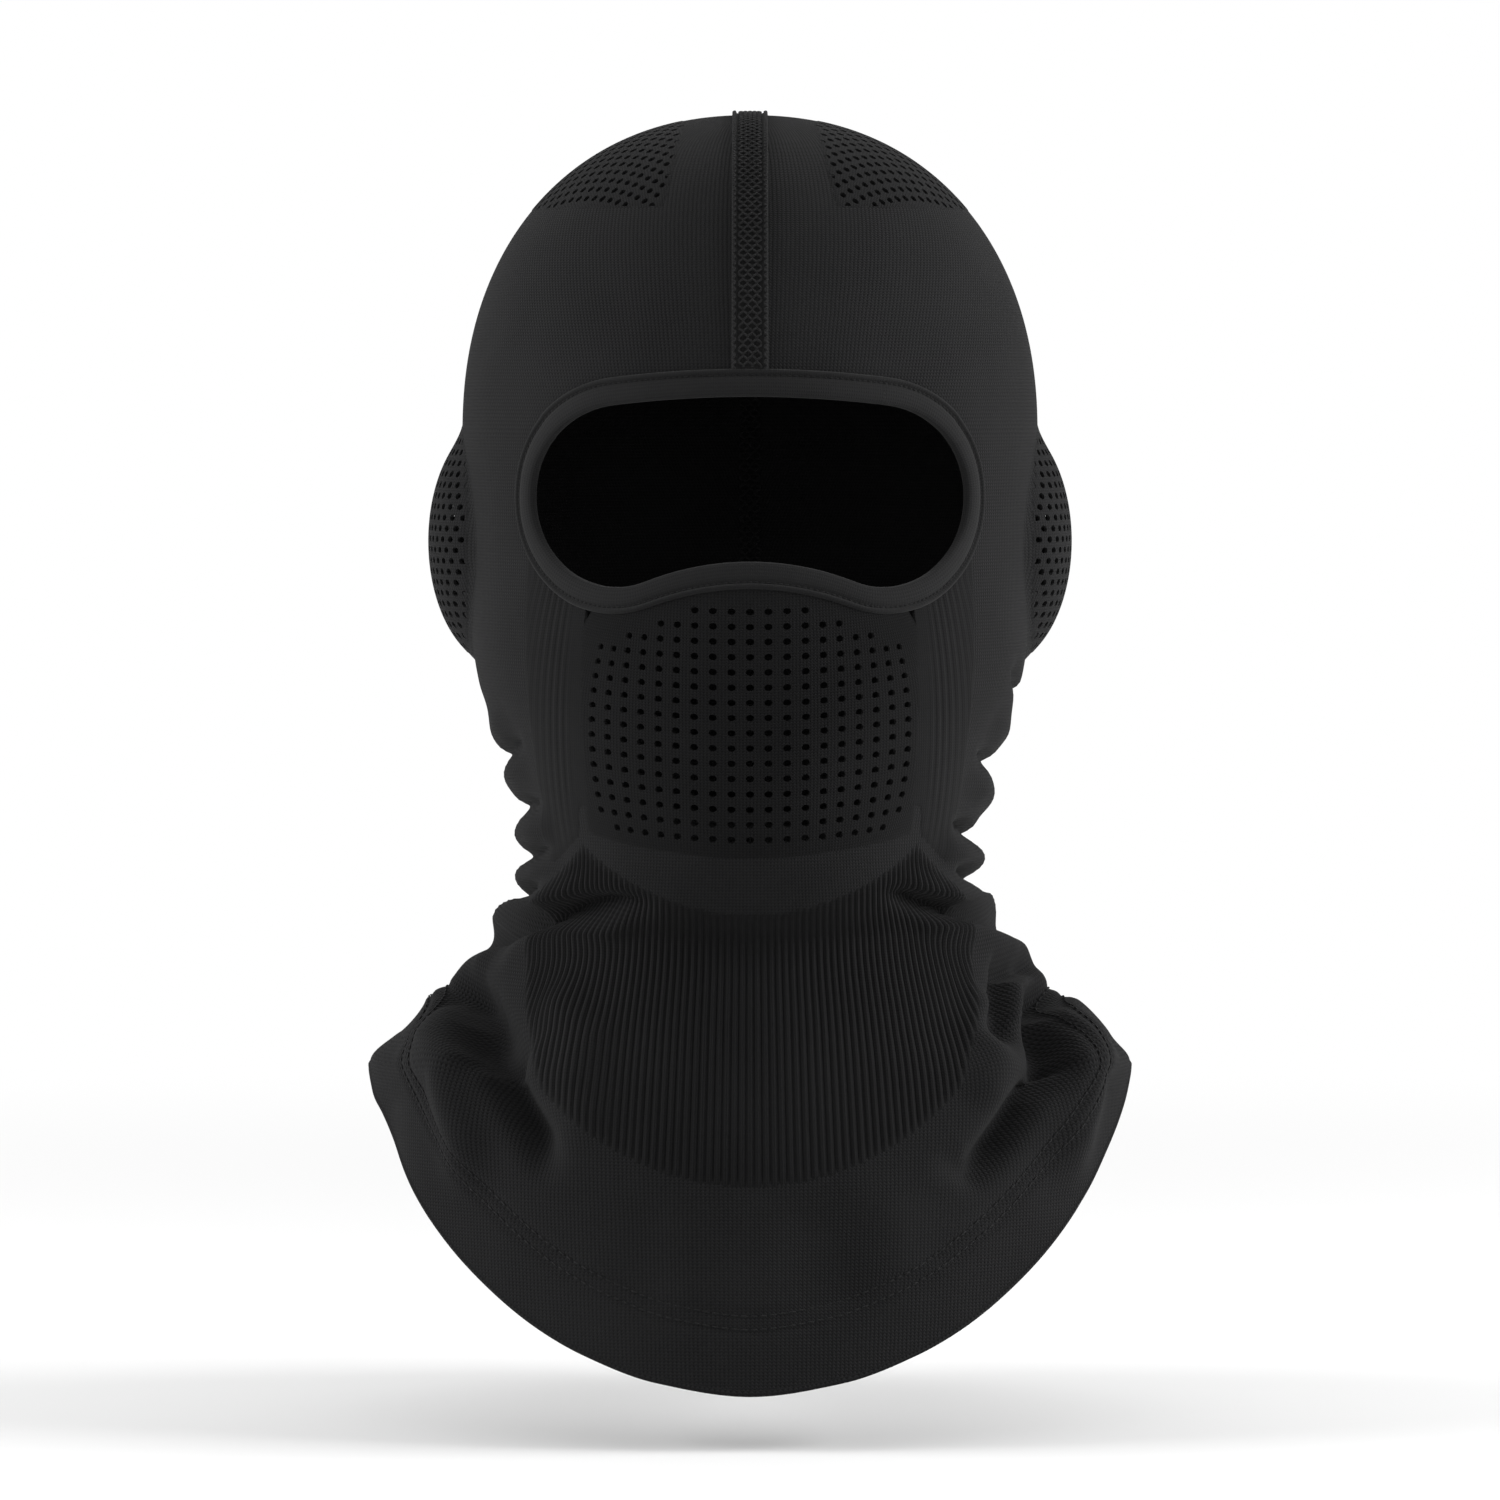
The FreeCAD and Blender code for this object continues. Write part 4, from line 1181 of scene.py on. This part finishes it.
def seam_spot(along, off):
    """A point of the form beside the middle line; along is negative in front of the top."""
    back = along > 0
    way = np.abs(along) - CROWN_LENGTH
    _, middle, depth = ellipse_at(way)
    over = middle + np.where(back, depth, -depth)
    reach = ((over - CROWN_MIDDLE) / CROWN_DEPTH) ** 2 + (off / BROW_SIDE) ** 2
    height = CROWN_RISE * np.maximum(1 - reach ** (CROWN_POWER / 2), 0) ** (1 / CROWN_POWER) - BROW_DROP
    crown = np.stack(np.broadcast_arrays(off, over, height), -1)
    side = np.maximum(ellipse_at(way)[0], 20)
    turn = np.arcsin(np.clip(off / side, -1, 1))
    lower = form(np.where(back, math.pi - turn, turn), way)
    high = np.clip((-8 - way) / 12, 0, 1)[..., None]
    return crown * high + lower * (1 - high)


def seam_point(along, off, lift):
    """Points of the seam, raised from the form."""
    along, off, lift = np.broadcast_arrays(along, off, lift)
    forward = seam_spot(along + 0.4, off) - seam_spot(along - 0.4, off)
    sideways = seam_spot(along, off + 0.4) - seam_spot(along, off - 0.4)
    out = np.cross(sideways, forward)
    out /= np.linalg.norm(out, axis=-1, keepdims=True)
    turn = np.where(along > 0, math.pi, 0.0)
    push = fold_rise(turn, drop_at(np.abs(along) - CROWN_LENGTH)) * (np.abs(along) > 200)
    return seam_spot(along, off) + out * (lift + push)[..., None]


front_end = -(CROWN_LENGTH + float(way_at(SEAM_START)))
back_end = CROWN_LENGTH + THROAT_WAY
fine = np.linspace(front_end, back_end, 4000)
spots = seam_spot(fine, np.zeros(len(fine)))
seam_gone = np.concatenate([[0], np.cumsum(np.linalg.norm(np.diff(spots, axis=0), axis=1))])
SEAM_LENGTH = seam_gone[-1]
print(f"seam: {SEAM_LENGTH:.0f} mm long")


def seam_along(gone):
    """The seam's own parameter at a distance from its front end."""
    return np.interp(gone, seam_gone, fine)


# %% Seam band
BAND_SECTION = (
    (-4.95, -0.4), (-4.95, 0.25), (-4.75, 0.62), (-4.4, 0.78), (-3.9, 0.7), (-3.3, 0.5), (-2.6, 0.42),
    (0, 0.42), (2.6, 0.42), (3.3, 0.5), (3.9, 0.7), (4.4, 0.78), (4.75, 0.62), (4.95, 0.25), (4.95, -0.4),
    (0, -0.5),
)
band_run = np.linspace(0, SEAM_LENGTH, 230)
steps = seam_along(band_run)
band_rings = [seam_point(steps, np.full(len(steps), off), lift) for off, lift in BAND_SECTION]
band_points, band_faces = swept(band_rings, closed_along=False)
band_faces = outward(band_points, band_faces)
band_uv = np.concatenate([
    np.stack([np.full(len(steps), off), band_run], -1) for off, _ in BAND_SECTION]) * MM
make_piece(
    "crown_seam_band", band_points, band_faces, band_uv, BINDING, ["crown_seam_band"])

# %% Cover thread: two needle rows and a honeycomb
COVER_STEP, SEAM_END = 3.1, 0.6


def zigzag_lines(centres, swing, lift, step, height):
    """Threads that swing between neighbours, passing over at the middle and under at the turns."""
    gone = np.linspace(SEAM_END, SEAM_LENGTH - SEAM_END, int(SEAM_LENGTH / step * 12))
    lines = []
    for place, centre in enumerate(centres):
        phase = gone / step * 2 * math.pi + place * math.pi
        off = centre + swing * np.clip(np.sin(phase) * 1.35, -1, 1)
        lines.append(seam_point(seam_along(gone), off, lift + height * np.cos(phase) ** 2))
    return lines


honeycomb = zigzag_lines((-2.45, -1.22, 0.0, 1.22, 2.45), 0.56, 0.62, COVER_STEP, 0.3)
needle_rows = zigzag_lines((-4.3, 4.3), 0.28, 0.86, 2.0, 0.22)
thread_piece(
    "crown_seam_cover_thread", THREADS, honeycomb + needle_rows, False, Thickness=0.00062, Sides=5)

# %% Looper thread inside the seam
inner = zigzag_lines((-2.2, -0.75, 0.75, 2.2), 0.68, -1.5, COVER_STEP, -0.2)
thread_piece("crown_seam_looper_thread", THREADS, inner, False, Thickness=0.0006, Sides=4)

# %% [markdown]
# ## The hem
#
# The lower edge is folded up inside and held by two parallel needle rows, with a looper
# thread between them on the inside. The facing is swept round like the binding: its
# section runs down the inside, rolls round the edge and ends just outside it.

# %% Hem facing
HEM_COUNT = 720
HEM_SECTION = (
    (21, -1.0), (21, -1.9), (14, -1.9), (7, -1.9), (1.2, -1.95), (0.2, -1.9), (-0.5, -1.6), (-0.9, -1.0),
    (-0.9, -0.4), (-0.5, 0.15), (0.1, 0.3), (0.7, 0.12), (1.4, -0.4), (2.2, -0.95), (7, -1.0), (14, -1.0),
)
hem_turns = np.linspace(-math.pi, math.pi, HEM_COUNT, endpoint=False)
hem_rings = [cloth_point(*above_hem(hem_turns, height), lift)[0] for height, lift in HEM_SECTION]
hem_points, hem_faces = swept(hem_rings)
hem_faces = outward(hem_points, hem_faces)
hem_run = np.concatenate([[0], np.cumsum(np.linalg.norm(np.diff(hem_rings[0], axis=0), axis=1))])
hem_uv = np.concatenate([
    np.stack([hem_run, np.full(HEM_COUNT, height)], -1) for height, _ in HEM_SECTION]) * MM
make_piece("hem_facing", hem_points, hem_faces, hem_uv, PLAIN, ["hem_facing"])

# %% Hem stitches and looper
upper_row, lower_row = HEM_ROWS
for name, height in (("hem_stitch_upper", upper_row), ("hem_stitch_lower", lower_row)):
    thread_piece(
        name, STITCHES, [cloth_point(*above_hem(hem_turns, height), 0.3)[0]], True,
        Pitch=0.0026, Stitch_length=0.0021, Thickness=0.0005)
zig = np.linspace(-math.pi, math.pi, 2400, endpoint=False)
wave = 0.5 + 0.5 * np.sin(np.arange(len(zig)) * math.pi / 5)
thread_piece(
    "hem_looper_thread", THREADS,
    [cloth_point(*above_hem(zig, lower_row + (upper_row - lower_row) * wave), -2.05)[0]], True,
    Thickness=0.0004, Sides=4)

# %% [markdown]
# The strips' lengths are rough, and the binding's is far too long. These names find the
# imported nodes and not the cloth pieces shown, so the frame compares none of the sizes
# with the cloth.

# %% [markdown]
# ## Floor, light and camera
#
# The setting is plain: a pale floor and pale surroundings. Dark cloth needs light from
# the sides to show its folds, so two large panels stand left and right, with a weak one
# in front. The camera is far away with a long lens, a little above the middle.

# %% Floor and backdrop
FLOOR, FLOOR_REACH = -0.362, 12


def pale_finish(name, value):
    """A dull, pale surface."""
    material = bpy.data.materials.new(name)
    material.use_nodes = True
    shader = material.node_tree.nodes["Principled BSDF"]
    shader.inputs["Base Color"].default_value = (value, value, value, 1)
    shader.inputs["Roughness"].default_value = 0.9
    shader.inputs["Specular IOR Level"].default_value = 0.1
    return material


floor_mesh = bpy.data.meshes.new("floor")
floor_mesh.from_pydata(
    [(x * FLOOR_REACH, y * FLOOR_REACH, FLOOR) for x, y in ((-1, -1), (1, -1), (1, 1), (-1, 1))],
    [], [(0, 1, 2, 3)])
floor_mesh.materials.append(pale_finish("pale_floor", 0.72))
tree = floor_mesh.materials[0].node_tree
place = tree.nodes.new("ShaderNodeTexCoord")
far = tree.nodes.new("ShaderNodeVectorMath")
far.operation = "LENGTH"
fade = tree.nodes.new("ShaderNodeMapRange")
fade.interpolation_type = "SMOOTHSTEP"
fade.inputs["From Min"].default_value = 0.35
fade.inputs["From Max"].default_value = 1.3
glow = tree.nodes.new("ShaderNodeEmission")
both = tree.nodes.new("ShaderNodeMixShader")
tree.links.new(place.outputs["Object"], far.inputs[0])
tree.links.new(far.outputs["Value"], fade.inputs["Value"])
tree.links.new(fade.outputs["Result"], both.inputs[0])
tree.links.new(tree.nodes["Principled BSDF"].outputs[0], both.inputs[1])
tree.links.new(glow.outputs[0], both.inputs[2])
tree.links.new(both.outputs[0], tree.nodes["Material Output"].inputs["Surface"])
floor = bpy.data.objects.new("floor", floor_mesh)
bpy.context.scene.collection.objects.link(floor)

scene = bpy.context.scene
scene.view_settings.view_transform = "Standard"
world = bpy.data.worlds.new("surroundings")
world.use_nodes = True
tree = world.node_tree
tree.nodes["Background"].inputs["Color"].default_value = (1, 1, 1, 1)
seen = tree.nodes.new("ShaderNodeLightPath")
around = tree.nodes.new("ShaderNodeTexCoord")
split = tree.nodes.new("ShaderNodeSeparateXYZ")
tree.links.new(around.outputs["Generated"], split.inputs[0])
glow = link_math(tree, "MULTIPLY_ADD", split.outputs[1], 0.22, 0.5)
glow = link_math(tree, "ADD", glow, link_math(tree, "MULTIPLY", split.outputs[2], 0.35))
white = link_math(tree, "MAXIMUM", seen.outputs["Is Camera Ray"], glow)
tree.links.new(white, tree.nodes["Background"].inputs["Strength"])
scene.world = world


# %% Lights
def panel_light(name, place, target, size, power):
    """A square light that faces a target."""
    data = bpy.data.lights.new(name, "AREA")
    data.shape = "SQUARE"
    data.size = size
    data.energy = power
    lamp = bpy.data.objects.new(name, data)
    lamp.location = place
    lamp.rotation_euler = (Vector(target) - Vector(place)).to_track_quat("-Z", "Y").to_euler()
    scene.collection.objects.link(lamp)


MIDDLE = (0, 0, -0.18)
panel_light("side_light_left", (-1.5, -0.15, 0.35), MIDDLE, 0.9, 26)
panel_light("side_light_right", (1.5, -0.15, 0.35), MIDDLE, 0.9, 34)
panel_light("front_fill", (0, -2.3, 0.15), MIDDLE, 0.6, 5)

# %% Camera
DISTANCE, RISE = 2.6, math.radians(2.5)
AIM_HEIGHT, VIEW_WIDTH = -0.1764, 0.42
camera = bpy.data.objects.new("camera", bpy.data.cameras.new("camera"))
camera.location = (0, -DISTANCE * math.cos(RISE), AIM_HEIGHT + DISTANCE * math.sin(RISE))
camera.rotation_euler = (math.pi / 2 - RISE, 0, 0)
camera.data.lens = 36 * DISTANCE / VIEW_WIDTH
scene.collection.objects.link(camera)
scene.camera = camera
